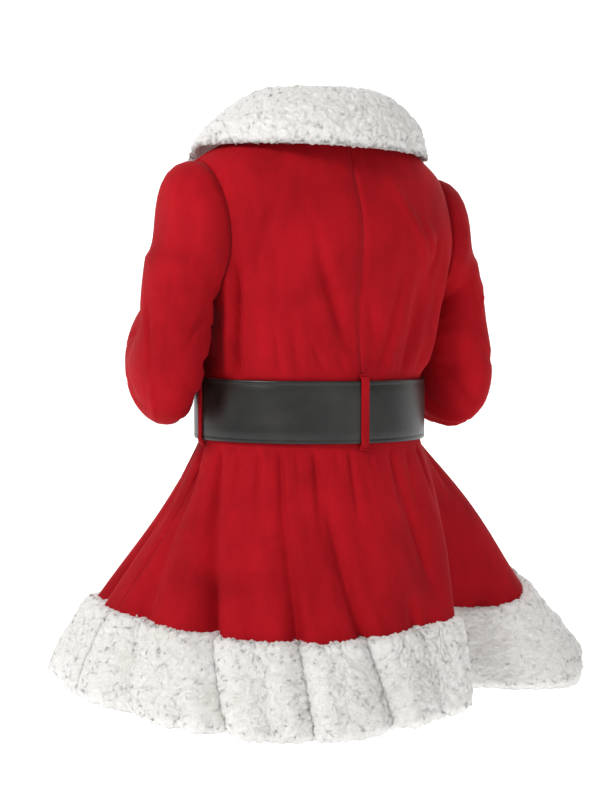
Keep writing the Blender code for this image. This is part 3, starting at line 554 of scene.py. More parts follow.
def turn_between(angle, middle):
    """How far an angle is from a middle one, the short way round."""
    return (angle - middle + 180.0) % 360.0 - 180.0


def bump(distance, half_width):
    """A soft round hump, 1 in its middle and 0 at its edges."""
    near = np.abs(distance) < half_width
    return np.where(near, np.cos(math.pi / 2 * distance / half_width) ** 2, 0.0)


def ease(value, start, end):
    """Rises smoothly from 0 at start to 1 at end."""
    t = np.clip((value - start) / (end - start), 0.0, 1.0)
    return t * t * (3 - 2 * t)


def ring_point(angle, half_width, back, front, centre_y, squareness):
    """A point of a ring, which is deeper at its back than at its front."""
    sine, cosine = np.sin(np.radians(angle)), np.cos(np.radians(angle))
    depth = np.where(cosine > 0, back, front)
    x = half_width * np.sign(sine) * np.abs(sine) ** (2 / squareness)
    y = centre_y + depth * np.sign(cosine) * np.abs(cosine) ** (2 / squareness)
    return x, y


def outward(angle):
    angle = np.radians(np.asarray(angle, float))
    return np.stack([np.sin(angle), np.cos(angle), np.zeros_like(angle)], axis=-1)


def frontness(angle):
    """0 at the back and the sides, rising to 1 at the middle of the front."""
    return np.maximum(-np.cos(np.radians(angle)), 0.0) ** 1.5


def bodice_fold(angle, height):
    """How far folds and creases move the bodice's cloth. A crease that reaches the belt doesn't fade."""
    total = np.zeros_like(angle)
    for table, fades_at, lowest in ((BODICE_FOLDS, 0.90, -math.inf), (BODICE_CREASES, 0.65, BELT_TOP)):
        for top_angle, top, bottom_angle, bottom, depth, half_width in table:
            share = (top - height) / (top - bottom)
            middle = top_angle + (bottom_angle - top_angle) * share
            end = 1.0 if bottom <= lowest else 1.0 - ease(share, fades_at, 1.0)
            fade = ease(share, 0.0, 0.45) * end * (share < 1.0)
            total -= depth * fade * bump(turn_between(angle, middle), half_width)
    return total * ease(-height, -BELT_TOP + 0.002, -BELT_TOP - 0.020)


def body_point(angle, height):
    """A point in the middle of the bodice's cloth. Near the neck the rings dip at the front."""
    angle, height = np.broadcast_arrays(np.asarray(angle, float), np.asarray(height, float))
    x, y = ring_point(angle, *np.moveaxis(curve(BODY, height), -1, 0))
    point = np.stack([x, y, height], axis=-1)
    side = np.abs(turn_between(angle, 0.0))
    dent = curve(ARM_DENT, height)[..., 0] * bump(side - ARM_DENT_ANGLE, ARM_DENT_HALF)
    point += outward(angle) * (bodice_fold(angle, height) - dent)[..., None]
    point[..., 2] -= NECK_DROP * frontness(angle) * ease(height, -0.100, -0.010)
    lean = SHOULDER_LEAN * x * ease(height, UNDERARM, SHOULDER_POINT)
    point[..., 2] += lean * ease(-height, 0.0, -SHOULDER_POINT)
    return point


def skirt_fold(angle, down):
    """How far the skirt's folds and creases take its flare in. The narrow ones fade where the fur starts."""
    total = np.zeros_like(angle)
    for waist_angle, hem_angle, depth, half_width, ends in SKIRT_FOLDS:
        middle = waist_angle + (hem_angle - waist_angle) * down
        fade = 1.0 - ease(down, ends - 0.45, ends) if ends <= 1.0 else 1.0
        total += depth * fade * bump(turn_between(angle, middle), half_width)
    fine = 1.0 - 0.75 * ease(down, FUR_STARTS, FUR_STARTS + 0.08)
    for waist_angle, hem_angle, start, end, depth, half_width in SKIRT_CREASES:
        middle = waist_angle + (hem_angle - waist_angle) * down
        rise = ease(down, start - 0.02, start + 0.10)
        fall = 1.0 if end >= 1.0 else 1.0 - ease(down, end - 0.7 * (end - start), end)
        total += depth * fine * rise * fall * bump(turn_between(angle, middle), half_width)
    return total


def waist_gather(angle, down):
    """Depth of the gathers under the belt, which lean with the folds they run into."""
    total = np.zeros_like(angle)
    for middle, depth, half_width, reach in WAIST_GATHERS:
        fade = ease(down, 0.0, 0.05) * (1.0 - ease(down, 0.3 * reach, reach))
        lean = middle * (1.0 - GATHER_LEAN * down)
        total += depth * fade * bump(turn_between(angle, lean), half_width)
    return total


def skirt_point(angle, down):
    """A point of the skirt, where down is 0 at the belt and 1 at the hem. Above 0 it is under the belt."""
    angle, down = np.broadcast_arrays(np.asarray(angle, float), np.asarray(down, float))
    height = np.where(down < 0.0, SKIRT_START - down * SKIRT_LENGTH, SKIRT_START)
    x, y = ring_point(angle, *np.moveaxis(curve(BODY, height), -1, 0))
    below = np.maximum(down, 0.0)
    flare, length, swell = np.moveaxis(curve(FLARE, turn_between(angle, 0.0)), -1, 0)
    reach = np.maximum(flare - skirt_fold(angle, below), 0.004)
    opened = below + swell * np.sin(2 * math.pi * below)
    point = np.stack([x, y, height - np.sqrt(length**2 - flare**2) * below], axis=-1)
    return point + outward(angle) * (reach * opened - waist_gather(angle, below))[..., None]


def grid_normals(points, middle):
    """Normals at the points of a grid, facing away from a middle."""
    across = np.gradient(points, axis=1)
    along = np.gradient(points, axis=0)
    normals = unit(np.cross(across, along))
    if np.sum(normals * (points - np.asarray(middle))) < 0:
        normals = -normals
    return normals


def runs(points, axis):
    """Lengths along the rows or columns of a grid."""
    steps = np.linalg.norm(np.diff(points, axis=axis), axis=-1)
    start = np.zeros_like(np.take(steps, [0], axis=axis))
    return np.concatenate([start, np.cumsum(steps, axis=axis)], axis=axis)


def sewn(points, normals, edges):
    """The grid with its cloth drawn in and puckered beside its sewn edges."""
    across, along = runs(points, 1), runs(points, 0)
    places = {
        "first_column": (across, along),
        "last_column": (across[:, -1:] - across, along),
        "first_row": (along, across),
        "last_row": (along[-1:] - along, across),
    }
    dip = np.zeros(points.shape[:2])
    for edge in edges:
        away, beside = places[edge]
        wave = np.sin(2 * math.pi * beside / PUCKER_LENGTH + 1.7 * np.sin(beside / 0.031))
        dip = np.maximum(dip, SEAM_DIP * np.exp(-((away / SEAM_WIDE) ** 2)))
        dip = dip + PUCKER * (1 + wave) / 2 * np.exp(-(((away - 0.004) / 0.005) ** 2))
    return points - normals * dip[..., None]


def placed(name, mesh, looks):
    """An object of the coat with a finished mesh, smoothly shaded."""
    mesh.shade_smooth()
    for look in looks:
        mesh.materials.append(look)
    piece = bpy.data.objects.new(name, mesh)
    bpy.context.scene.collection.objects.link(piece)
    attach(piece, "root")
    return piece


def grid_piece(name, points, normals, looks, closed=False, pile=None, thickness=0.0, inner_look=0):
    """A piece through a grid of points. A closed one joins its last column to its first."""
    rows, columns = points.shape[:2]
    across, along = runs(points, 1), runs(points, 0)
    bm = bmesh.new()
    bmesh.ops.create_grid(bm, x_segments=columns - 1, y_segments=rows - 1, size=1.0)
    flat = bm.loops.layers.uv.new("UVMap")
    # A mask of painted shade for the fur: where it is low, the pile is painted grey
    pile_shade = bm.verts.layers.float.new("pile")
    spots = {}
    for vert in bm.verts:
        j = round((vert.co.x + 1) / 2 * (columns - 1))
        i = round((vert.co.y + 1) / 2 * (rows - 1))
        spots[vert] = (i, j)
    for face in bm.faces:
        for loop in face.loops:
            i, j = spots[loop.vert]
            loop[flat].uv = (across[i, j], along[i, j])
    for vert, (i, j) in spots.items():
        vert.co = points[i, j]
        vert[pile_shade] = 1.0 if pile is None else pile[i, j]
    if closed:
        ends = [vert for vert, (i, j) in spots.items() if j in (0, columns - 1)]
        bmesh.ops.remove_doubles(bm, verts=ends, dist=1e-6)
    bm.normal_update()
    bm.faces.ensure_lookup_table()
    face = bm.faces[0]
    if face.normal.dot(Vector(normals[spots[face.verts[0]]])) < 0:
        bmesh.ops.reverse_faces(bm, faces=bm.faces)
    mesh = bpy.data.meshes.new(name)
    bm.to_mesh(mesh)
    bm.free()
    piece = placed(name, mesh, looks)
    if thickness:
        solid = piece.modifiers.new("cloth", "SOLIDIFY")
        solid.thickness = thickness
        solid.offset = 0.0
        solid.material_offset = inner_look
    return piece


def declare_cloth(nodes):
    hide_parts(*nodes)


def bodice_rows():
    """Heights of the bodice's rows, with how far each is cut in at the armhole, from 0 to 1."""
    turn = np.linspace(0.0, math.pi, BODICE_ARMHOLE + 1)
    middle, half = (UNDERARM + SHOULDER_POINT) / 2, (SHOULDER_POINT - UNDERARM) / 2
    heights = np.concatenate(
        [
            np.linspace(WAIST_SEAM, UNDERARM, BODICE_LOWER + 1)[:-1],
            middle - half * np.cos(turn),
            np.linspace(SHOULDER_POINT, 0.0, BODICE_UPPER + 1)[1:],
        ]
    )
    cuts = np.concatenate([np.zeros(BODICE_LOWER), np.sin(turn), np.zeros(BODICE_UPPER)])
    return heights, cuts


def bodice_grid(side, part):
    """One panel of the bodice, from the middle of the back or front to the side. side is 1 on the left."""
    heights, cuts = bodice_rows()
    share = np.linspace(0.0, 1.0, BODICE_COLUMNS[part])[None, :]
    front = part == "front"
    start = 180.0 + OVERLAP if front else 0.0
    taken = ARMHOLE_FRONT * cuts if front else -ARMHOLE_BACK * cuts
    angle = start + (90.0 - start) * share + taken[:, None] * share**2.5
    points = body_point(side * angle, heights[:, None])
    normals = grid_normals(points, (0.0, -0.012, -0.15))
    if front:
        points = points - normals * (side * OVERLAP_STEP * ease(angle, OVERLAP_FROM, OVERLAP_FULL))[..., None]
    return points, normals


def make_bodice(velvet, lining):
    armhole = slice(BODICE_LOWER, BODICE_LOWER + BODICE_ARMHOLE + 1)
    edges = {}
    for side_name, side in (("left", 1), ("right", -1)):
        for part in ("back", "front"):
            points, normals = bodice_grid(side, part)
            edges[part, side_name] = points[armhole, -1]
            sides = ("last_column",) if part == "front" else ("first_column", "last_column")
            name = f"bodice_{part}_{side_name}"
            cloth = sewn(points, normals, sides)
            looks = (velvet, lining)
            piece = grid_piece(name + "_cloth", cloth, normals, looks, thickness=CLOTH, inner_look=1)
            declare_cloth((name,))
    return edges


def heading(inward, up):
    inward, up = math.radians(inward), math.radians(up)
    return np.array((-math.cos(up) * math.sin(inward), -math.cos(up) * math.cos(inward), math.sin(up)))


def arm_path(arm):
    """Centres, directions and depths down a sleeve, built on the left, from the cap's ring to the wrist."""
    start_y, start_height, point, inward = ARMS[arm]
    lean = math.pi / 2 - math.radians(CAP_TURN)
    cap, start = np.array(CAP_CENTRE), np.array((ARM_ACROSS, start_y, start_height))
    cap_way, down = np.array((math.cos(lean), 0.0, -math.sin(lean))), unit(ARM_DOWN)
    path = []
    for share in np.linspace(0.0, 1.0, 8):
        depth = CAP_DEPTH + (ELBOW_DEPTHS[0] - CAP_DEPTH) * share
        path.append((cap + (start - cap) * share, unit(cap_way + (down - cap_way) * share), depth))
    forearm, wrist = heading(inward, FOREARM_UP), heading(WRIST_IN, WRIST_UP)
    angle = math.acos(float(down @ forearm))
    side = unit(forearm - down * float(down @ forearm))
    crease = start + side * (ELBOW_CREASE + ELBOW_DEPTHS[0])
    for share in np.linspace(0.0, 1.0, ELBOW_FINE + 1)[1:]:
        depth = ELBOW_DEPTHS[0] + (ELBOW_DEPTHS[1] - ELBOW_DEPTHS[0]) * share
        depth += point * float(bump(share - ELBOW_POINT_AT, ELBOW_POINT_HALF))
        turn = angle * share
        away = math.sin(turn) * down - math.cos(turn) * side
        way = math.cos(turn) * down + math.sin(turn) * side
        path.append((crease + away * (ELBOW_CREASE + depth), way, depth))
    start, angle = path[-1][0], math.acos(float(forearm @ wrist))
    side = unit(wrist - forearm * float(forearm @ wrist))
    for share in np.linspace(0.0, 1.0, FOREARM_FINE + 1)[1:]:
        turn = angle * share
        place = start + FOREARM_RADIUS * (math.sin(turn) * forearm + (1 - math.cos(turn)) * side)
        depth = ELBOW_DEPTHS[1] + (WRIST_RADIUS - ELBOW_DEPTHS[1]) * share
        path.append((place, math.cos(turn) * forearm + math.sin(turn) * side, depth))
    return path


def arm_frames(path):
    """Two directions across each step of the path: outward from the body, and to the back."""
    out = unit(np.cross(path[0][1], (0.0, 1.0, 0.0)))
    frames = [(out, np.array((0.0, 1.0, 0.0)))]
    for _, way, _ in path[1:]:
        out = unit(out - way * float(out @ way))
        frames.append((out, unit(np.cross(out, way))))
    return frames


def sleeve_grid(armhole, arm):
    """Rings of a sleeve, built on the left, from the armhole to the wrist, and the middles of its rings."""
    path = arm_path(arm)
    frames = arm_frames(path)
    centres = np.array([centre for centre, _, _ in path])
    steps = np.concatenate([[0.0], np.cumsum(np.linalg.norm(np.diff(centres, axis=0), axis=1))])
    shares = (steps / steps[-1])[:, None]
    sides = len(armhole)
    angle = np.arange(sides)[None, :] * 360.0 / sides
    dent = np.zeros((len(path), sides))
    for at, middle, lean, half_turn, half_length, depth in SLEEVE_CREASES + SLEEVE_FINE[arm]:
        turn = turn_between(angle, middle)
        dent += depth * bump(turn, half_turn) * bump(shares - at - lean * turn / half_turn, half_length)
    across = curve(SLEEVE_ACROSS, shares[:, 0]) - dent
    through = np.array([depth for _, _, depth in path])[:, None] - dent
    out = np.array([frame[0] for frame in frames])[:, None, :]
    back = np.array([frame[1] for frame in frames])[:, None, :]
    cosine, sine = np.cos(np.radians(angle))[..., None], np.sin(np.radians(angle))[..., None]
    rings = centres[:, None, :] + out * across[..., None] * cosine + back * through[..., None] * sine
    under = ((1 - np.cos(np.radians(angle[0]))) / 2)[:, None]
    chord = np.linalg.norm(rings[0] - armhole, axis=1)[:, None]
    from_body = unit((armhole - np.array(BODY_AXIS)) * np.array((1.0, 1.0, 0.0)))
    leave = unit(np.array((1.0, 0.0, 0.05)) * (1 - under) + from_body * under)
    start = armhole + leave * UNDERARM_GAP * under
    cap = []
    for t in np.arange(CAP_FINE) / CAP_FINE:
        cap.append(
            start * (2 * t**3 - 3 * t**2 + 1)
            + leave * chord * CAP_FULLNESS * (t**3 - 2 * t**2 + t)
            + rings[0] * (3 * t**2 - 2 * t**3)
            + path[0][1] * chord * (t**3 - t**2)
        )
    return np.concatenate([np.array(cap), rings])


def make_sleeves(edges, velvet, lining):
    for arm, flip in (("left", 1.0), ("right", -1.0)):
        mirror = np.array((flip, 1.0, 1.0))
        loop = np.concatenate([edges["back", arm][::-1], edges["front", arm][1:-1]]) * mirror
        grid = sleeve_grid(loop, arm) * mirror
        points = np.concatenate([grid, grid[:, :1]], axis=1)
        middles = grid.mean(axis=1)[:, None, :]
        normals = grid_normals(points, middles)
        seam = (normals[:, :1] + normals[:, -1:]) / 2
        normals[:, :1] = normals[:, -1:] = unit(seam)
        cloth = sewn(points, normals, ("first_row", "last_row"))
        name = f"sleeve_{arm}"
        looks = (velvet, lining)
        piece = grid_piece(name + "_cloth", cloth, normals, looks, closed=True, thickness=CLOTH, inner_look=1)
        declare_cloth((name,))


# Panels of the skirt: name, first angle, last angle, and the last angle of its fur
SKIRT_PANELS = (("back", -90.0, 90.0, 90.0), ("left", 90.0, 190.8, 179.6), ("right", -90.0, -190.8, -179.6))


def skirt_panel(first, last, levels, step):
    """A panel's points and outward normals, with the fronts lifted clear of each other where they lap."""
    count = int(abs(last - first) / step) + 1
    angle = np.linspace(first, last, count)[None, :]
    points = skirt_point(angle, np.asarray(levels)[:, None])
    normals = grid_normals(points, (0.0, -0.02, points[..., 2].mean()))
    if abs(last) > 100.0:
        lap = -math.copysign(OVERLAP_STEP, last) * ease(np.abs(angle), OVERLAP_FROM, OVERLAP_FULL)
        points = points + normals * lap[..., None]
    return points, normals


def fur_scale(angle, down):
    """The fur lies thinner in the bottom of the deep flute."""
    waist_angle, hem_angle, _, half_width, _ = SKIRT_FOLDS[0]
    middle = waist_angle + (hem_angle - waist_angle) * down
    return 1.0 - FLUTE_THIN * bump(turn_between(angle, middle), half_width * 0.8)


def hashed(cell, salt):
    """Even values from 0 to 1 that look random, one for each whole-number place in space."""
    value = np.sin(cell @ np.array((127.1, 311.7, 74.7)) + salt * 53.3) * 43758.5453
    return value - np.floor(value)


def soft_noise(places, size, salt):
    """Smooth values from 0 to 1 through space."""
    cell = np.floor(places / size)
    share = ease(places / size - cell, 0.0, 1.0)
    total = np.zeros(places.shape[:-1])
    for corner in np.ndindex(2, 2, 2):
        weight = np.prod(np.where(np.array(corner) == 1, share, 1.0 - share), axis=-1)
        total += weight * hashed(cell + corner, salt)
    return total


def pile_height(places, salt):
    """Height of a curly pile from 0 to 1: round tufts, each with strands that curl beside its own middle."""
    places = places + TUFT_SWAY * TUFT * np.sin(places[..., [1, 2, 0]] / SWAY_LENGTH + salt)
    cell = np.floor(places / TUFT)
    nearest = np.full(places.shape[:-1], 9.0)
    strands = np.zeros(places.shape[:-1])
    for beside in np.ndindex(3, 3, 3):
        here = cell + beside - 1.0
        spot = np.stack([hashed(here, salt + axis) for axis in range(3)], axis=-1)
        away = places - (here + 0.1 + 0.8 * spot) * TUFT
        far = np.linalg.norm(away, axis=-1) / TUFT
        middle = unit(spot - 0.5) * CURL_BESIDE * TUFT
        curl = np.linalg.norm(away - middle, axis=-1) / STRAND + hashed(here, salt + 4)
        strands = np.where(far < nearest, 0.5 + 0.5 * np.cos(2 * math.pi * curl), strands)
        nearest = np.minimum(nearest, far)
    dome = np.clip(1.0 - TUFT_FALL * nearest**2, 0.0, 1.0)
    small, broad = soft_noise(places, SMALL_LUMPS, salt + 5), soft_noise(places, BROAD_LUMPS, salt + 6)
    return sum(share * part for share, part in zip(PILE_MIX, (dome, strands, small, broad)))


def make_locks(name, look, points, normals, amount, seed):
    """Small curled locks of fur over a grid's surface, joined in one piece."""
    rng = np.random.default_rng(seed)
    rows, columns = points.shape[:2]
    spread = rng.beta(LOCK_SPREAD, LOCK_SPREAD, amount)
    i = (LOCK_INSET + spread * (rows - 1 - 2 * LOCK_INSET)).astype(int)
    j = rng.integers(1, columns - 1, amount)
    normal = normals[i, j]
    start = points[i, j] - normal * LOCK_ROOT
    side = unit(np.cross(normal, unit(rng.normal(size=(amount, 3)))))
    other = np.cross(normal, side)
    stations, sides = len(LOCK_TAPER), LOCK_SIDES
    rise = np.radians(rng.uniform(*LOCK_RISE, amount))
    fall = np.radians(rng.uniform(*LOCK_FALL, amount))
    curl = np.radians(rng.uniform(*LOCK_CURL, amount)) * rng.choice((-1, 1), amount)
    long = LOCK_LENGTH * rng.uniform(*LOCK_SPAN, amount)
    place = start.copy()
    centres = [place.copy()]
    for s in np.arange(1, stations) / (stations - 1):
        lift, turn = rise - (rise + fall) * s, curl * s
        way = normal * np.sin(lift)[:, None]
        way = way + (side * np.cos(turn)[:, None] + other * np.sin(turn)[:, None]) * np.cos(lift)[:, None]
        place = place + way * (long / (stations - 1))[:, None]
        centres.append(place.copy())
    centres = np.stack(centres, axis=1)
    taper = np.array(LOCK_TAPER) * LOCK_THICK
    verts = []
    for k in range(sides):
        turn = 2 * math.pi * k / sides
        ring = other * math.cos(turn) + normal * math.sin(turn)
        verts.append(centres + ring[:, None, :] * taper[None, :, None])
    verts = np.stack(verts, axis=2).reshape(-1, 3)
    faces = []
    for s in range(stations - 1):
        for k in range(sides):
            m = (k + 1) % sides
            faces.append((s * sides + k, s * sides + m, (s + 1) * sides + m, (s + 1) * sides + k))
    template = np.array(faces)
    all_faces = (template[None] + (np.arange(amount) * stations * sides)[:, None, None]).reshape(-1, 4)
    mesh = bpy.data.meshes.new(name)
    mesh.from_pydata(verts.tolist(), [], all_faces.tolist())
    # The locks' values in the painted-shade mask, from root to tip; all lie past the fur's palest stop, so the
    # locks keep the pale colour
    pile_shade = mesh.attributes.new("pile", "FLOAT", "POINT")
    shades = np.tile(np.repeat(np.linspace(*LOCK_SHADES, stations), sides), amount)
    pile_shade.data.foreach_set("value", shades.astype(np.float32))
    return placed(name, mesh, (look,))


def make_pile(name, look, base, normals, thick, salt, amount, closed=False, deep=PILE_DEEP):
    """A curly pile over a grid of backing, thick metres high, with its own rolled edges, and its locks."""
    across, along = runs(base, 1), runs(base, 0)
    height = pile_height(base, salt)
    edge = np.minimum(along, along[-1:] - along)
    if not closed:
        edge = np.minimum(edge, np.minimum(across, across[:, -1:] - across))
    inside = np.clip(edge / PILE_ROLL, 0.0, 1.0)
    roll = np.sqrt(inside * (2 - inside))
    lift = (thick + deep * (height - PILE_MEAN)) * roll
    points = base + normals * lift[..., None]
    way = unit(np.gradient(base, axis=0))
    ragged = RAGGED * (height - RAGGED_FROM)
    points -= way * (ragged * np.exp(-along / PILE_ROLL))[..., None]
    points += way * (ragged * np.exp(-(along[-1:] - along) / PILE_ROLL))[..., None]
    # The painted-shade mask: low between the tufts and halved at the rolled edges, so the fur is painted
    # greyer there
    piece = grid_piece(name, points, normals, (look,), closed=closed, pile=height * (0.5 + 0.5 * roll))
    locks = make_locks(name.replace("pile", "locks"), look, points, normals, amount, 10 + salt)
    return [piece, locks]


def make_skirt(velvet, lining, fur, backing):
    under = (SKIRT_START - WAIST_SEAM) / SKIRT_LENGTH
    cloth_levels = np.concatenate([np.linspace(under, 0.0, 8)[:-1], np.linspace(0.0, FUR_STARTS, SKIRT_FINE)])
    names = {"back": "skirt_back", "left": "skirt_front_left", "right": "skirt_front_right"}
    for salt, (name, first, last, fur_last) in enumerate(SKIRT_PANELS):
        points, normals = skirt_panel(first, last, cloth_levels, SKIRT_COLUMN_STEP)
        sides = ("first_column", "last_column") if name == "back" else ("first_column",)
        cloth = sewn(points, normals, sides)
        looks = (velvet, lining)
        piece = grid_piece(names[name] + "_cloth", cloth, normals, looks, thickness=CLOTH, inner_look=1)
        declare_cloth((names[name],))
        fur_degrees = math.degrees(FUR_STEP / HEM_REACH)
        band = (1 - FUR_STARTS) * SKIRT_LENGTH
        levels = np.linspace(FUR_STARTS, 1.0, int(band / FUR_STEP) + 1)
        points, normals = skirt_panel(first, fur_last, levels, fur_degrees)
        sheet_points, sheet_normals = points[::4, ::4], normals[::4, ::4]
        looks = (backing, backing)
        piece = grid_piece(f"hem_backing_{name}", sheet_points, sheet_normals, looks, thickness=CLOTH)
        angle = np.linspace(first, fur_last, points.shape[1])[None, :]
        share = (levels - FUR_STARTS) / (1 - FUR_STARTS)
        thick = curve(HEM_FUR, share) * fur_scale(angle, levels[:, None]) - HEM_SUNK
        pieces = make_pile(f"hem_pile_{name}", fur, points, normals, thick, salt, HEM_LOCKS[name])
        declare_cloth((f"hem_fur_{name}",))


def collar_point(row, angle):
    half_width, back, front, height, drop, centre_y = np.moveaxis(row, -1, 0)
    x, y = ring_point(angle, half_width, back, front, centre_y, 2.0)
    side = np.abs(np.sin(np.radians(angle))) ** 3
    sag = COLLAR_SAG * side * ease(-height, 0.0, 0.030)
    lean = SHOULDER_LEAN * x * ease(-height, -0.004, 0.030)
    return np.stack([x, y, height - drop * frontness(angle) - sag + lean], axis=-1)


def collar_grid(first, last, rows, columns):
    """Points of the collar between two places of its section, from one front end to the other."""
    table = [(i,) + row for i, row in enumerate(COLLAR)]
    table = [(-1,) + COLLAR[-1]] + table + [(len(COLLAR),) + COLLAR[0]]
    places = np.linspace(first, last, rows)
    angle = np.linspace(-COLLAR_HALF_OPEN, COLLAR_HALF_OPEN, columns)[None, :]
    return collar_point(curve(table, places)[:, None, :], angle)


def collar_end(turn):
    """The collar's front end, ruled from its outer face to its inner one, and its outward normals."""
    table = [(i,) + row for i, row in enumerate(COLLAR)]
    places = np.linspace(*END_OUTER)
    outer = collar_point(curve(table, places), turn)
    inner = collar_point(curve(table, END_INNER - places * END_INNER_SHARE), turn)
    share = np.linspace(0.0, 1.0, END_COLUMNS)[None, :, None]
    cap = outer[:, None, :] * (1 - share) + inner[:, None, :] * share
    way = np.array((-math.copysign(1.0, turn), 0.0, 0.0))
    return cap, np.broadcast_to(way, cap.shape).copy()


def make_collar(fur, backing):
    outer = collar_grid(*COLLAR_OUTER)
    normals = grid_normals(outer, COLLAR_MIDDLE)
    if np.sum(normals[DOME_ROW] * (outer[DOME_ROW] - np.array(COLLAR_MIDDLE))) < 0:
        normals = -normals
    base, thick = outer - normals * COLLAR_SUNK, np.zeros(outer.shape[:2])
    pieces = make_pile("collar_pile", fur, base, normals, thick, 7, COLLAR_LOCKS)
    for end, turn in (("left", COLLAR_HALF_OPEN), ("right", -COLLAR_HALF_OPEN)):
        cap, cap_normals = collar_end(turn)
        thick = np.zeros(cap.shape[:2])
        pieces += make_pile(f"collar_pile_{end}", fur, cap, cap_normals, thick, 9, END_LOCKS, deep=END_DEEP)
    inner = collar_grid(*COLLAR_INNER)
    inner_normals = grid_normals(inner, (0.0, -0.005, 0.5))
    piece = grid_piece("collar_backing", inner, inner_normals, (backing, backing), thickness=BACKING)
    declare_cloth(("collar",))


def make_cuffs(fur, backing):
    for salt, (arm, flip) in enumerate((("left", 1.0), ("right", -1.0))):
        path = arm_path(arm)
        out, back = arm_frames(path)[-1]
        start, way, _ = path[-1]
        around = np.linspace(0.0, 360.0, CUFF_COLUMNS)[None, :]
        shares = np.linspace(0.0, 1.0, CUFF_ROWS)
        mirror = np.array((flip, 1.0, 1.0))
        spoke = out * np.cos(np.radians(around))[..., None] + back * np.sin(np.radians(around))[..., None]
        centre = start + way * (SEAM_GAP + CUFF_LENGTH * shares)[:, None, None]
        base = (centre + spoke * WRIST_RADIUS) * mirror
        normals = np.broadcast_to(spoke * mirror, base.shape).copy()
        thick = np.broadcast_to(curve(CUFF_PROFILE, shares) - CUFF_SUNK, base.shape[:2])
        pieces = make_pile(f"cuff_pile_{arm}", fur, base, normals, thick, 11 + salt, CUFF_LOCKS, closed=True)
        sheet_points, sheet_normals = base[::3, ::3], normals[::3, ::3]
        looks = (backing, backing)
        name = f"cuff_backing_{arm}"
        piece = grid_piece(name, sheet_points, sheet_normals, looks, closed=True, thickness=CLOTH)
        declare_cloth((f"cuff_{arm}",))


def belt_ring(angle, height, out):
    """A point beside the smooth waist, moved out from the cloth's middle."""
    angle, height, out = np.broadcast_arrays(np.asarray(angle, float), height, out)
    half_width, back, front, centre_y, squareness = curve(BODY, -0.300)
    x, y = ring_point(angle, half_width + out, back + out, front + out, centre_y, squareness)
    return np.stack([x, y, height + BELT_RISE * x], axis=-1)


def strap_section():
    """Round the strap: shares of its height down from the top and of its thickness out from inside."""
    groove, edge = STITCH_IN / BELT_HEIGHT, 0.0016 / BELT_HEIGHT
    outer = [(0.0, 0.55), (edge * 0.3, 0.85), (edge, 0.98)]
    outer += [(groove - 0.012, 1.0), (groove, 0.88), (groove + 0.012, 1.0)]
    outer += [(0.2, 1.02), (0.35, 1.04), (0.5, 1.05)]
    outer += [(1.0 - down, out) for down, out in reversed(outer[:-1])]
    inner = [(1.0 - edge, 0.08), (0.75, 0.0), (0.5, 0.0), (0.25, 0.0), (edge, 0.08)]
    return outer + inner


def strap_end(angle):
    """How much the strap's tip is narrowed, and how far its outer end lies out over the strap below it."""
    tip = TIP_ANGLE - 360.0
    return 0.012 * ease(angle, tip + 5.0, tip), TIP_LIFT * ease(angle, -166.0, -178.0)


def make_strap(leather, thread):
    """The strap, from behind the buckle round to its tip over it, and its two rows of stitches."""
    section = np.array(strap_section() + strap_section()[:1])
    first, last = BUCKLE_ANGLE - STRAP_HIDDEN, TIP_ANGLE - 360.0
    angle = np.linspace(first, last, 320)[:, None]
    narrow, lift = strap_end(angle)
    top, height = BELT_TOP - narrow, BELT_HEIGHT - 2 * narrow
    out = BELT_IN + lift + BELT_THICK * section[None, :, 1]
    points = belt_ring(angle, top - height * section[None, :, 0], out)
    normals = grid_normals(points, points.mean(axis=1)[:, None, :])
    strap = grid_piece("belt_leather_strap", points, normals, (leather,), closed=True)
    bm = bmesh.new()
    bm.from_mesh(strap.data)
    bmesh.ops.holes_fill(bm, edges=[edge for edge in bm.edges if edge.is_boundary], sides=0)
    bmesh.ops.recalc_face_normals(bm, faces=bm.faces)
    bm.to_mesh(strap.data)
    bm.free()
    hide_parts("belt_strap")
    verts, faces = [], []
    pitch = math.degrees(STITCH_PITCH / BELT_RADIUS)
    half = math.degrees(STITCH_LENGTH / 2 / BELT_RADIUS)
    count = int((first - last - 2 * STRAP_HIDDEN) / pitch)
    for down in (STITCH_IN, BELT_HEIGHT - STITCH_IN):
        for i in range(count):
            middle = first - STRAP_HIDDEN - pitch * i
            narrow, lift = strap_end(np.array(middle))
            down_here = float(narrow) + down * (BELT_HEIGHT - 2 * float(narrow)) / BELT_HEIGHT
            height = BELT_TOP - down_here
            out = BELT_IN + float(lift) + BELT_THICK * 0.95
            base = len(verts)
            for share, wide, rise in STITCH_SHAPE:
                turn = half * share
                for up, over in ((-wide, 0.0), (0.0, STITCH_RISE + rise), (wide, 0.0)):
                    verts.append(tuple(belt_ring(middle + turn, height + up, out + over - STITCH_SUNK)))
            for s in range(3):
                for k in range(2):
                    a = base + s * 3 + k
                    faces.append((a, a + 3, a + 4, a + 1))
    mesh = bpy.data.meshes.new("belt_stitches")
    mesh.from_pydata(verts, [], faces)
    stitches = placed("belt_stitches", mesh, (thread,))


def full(value):
    """A sine or cosine of a round section, drawn out towards a square one."""
    return float(np.sign(value)) * abs(value) ** BAR_FULLNESS


def skin(bm, loops):
    """Faces between each loop of vertices and the next."""
    for here, there in zip(loops, loops[1:]):
        for k in range(len(here)):
            m = (k + 1) % len(here)
            bm.faces.new((here[k], here[m], there[m], there[k]))


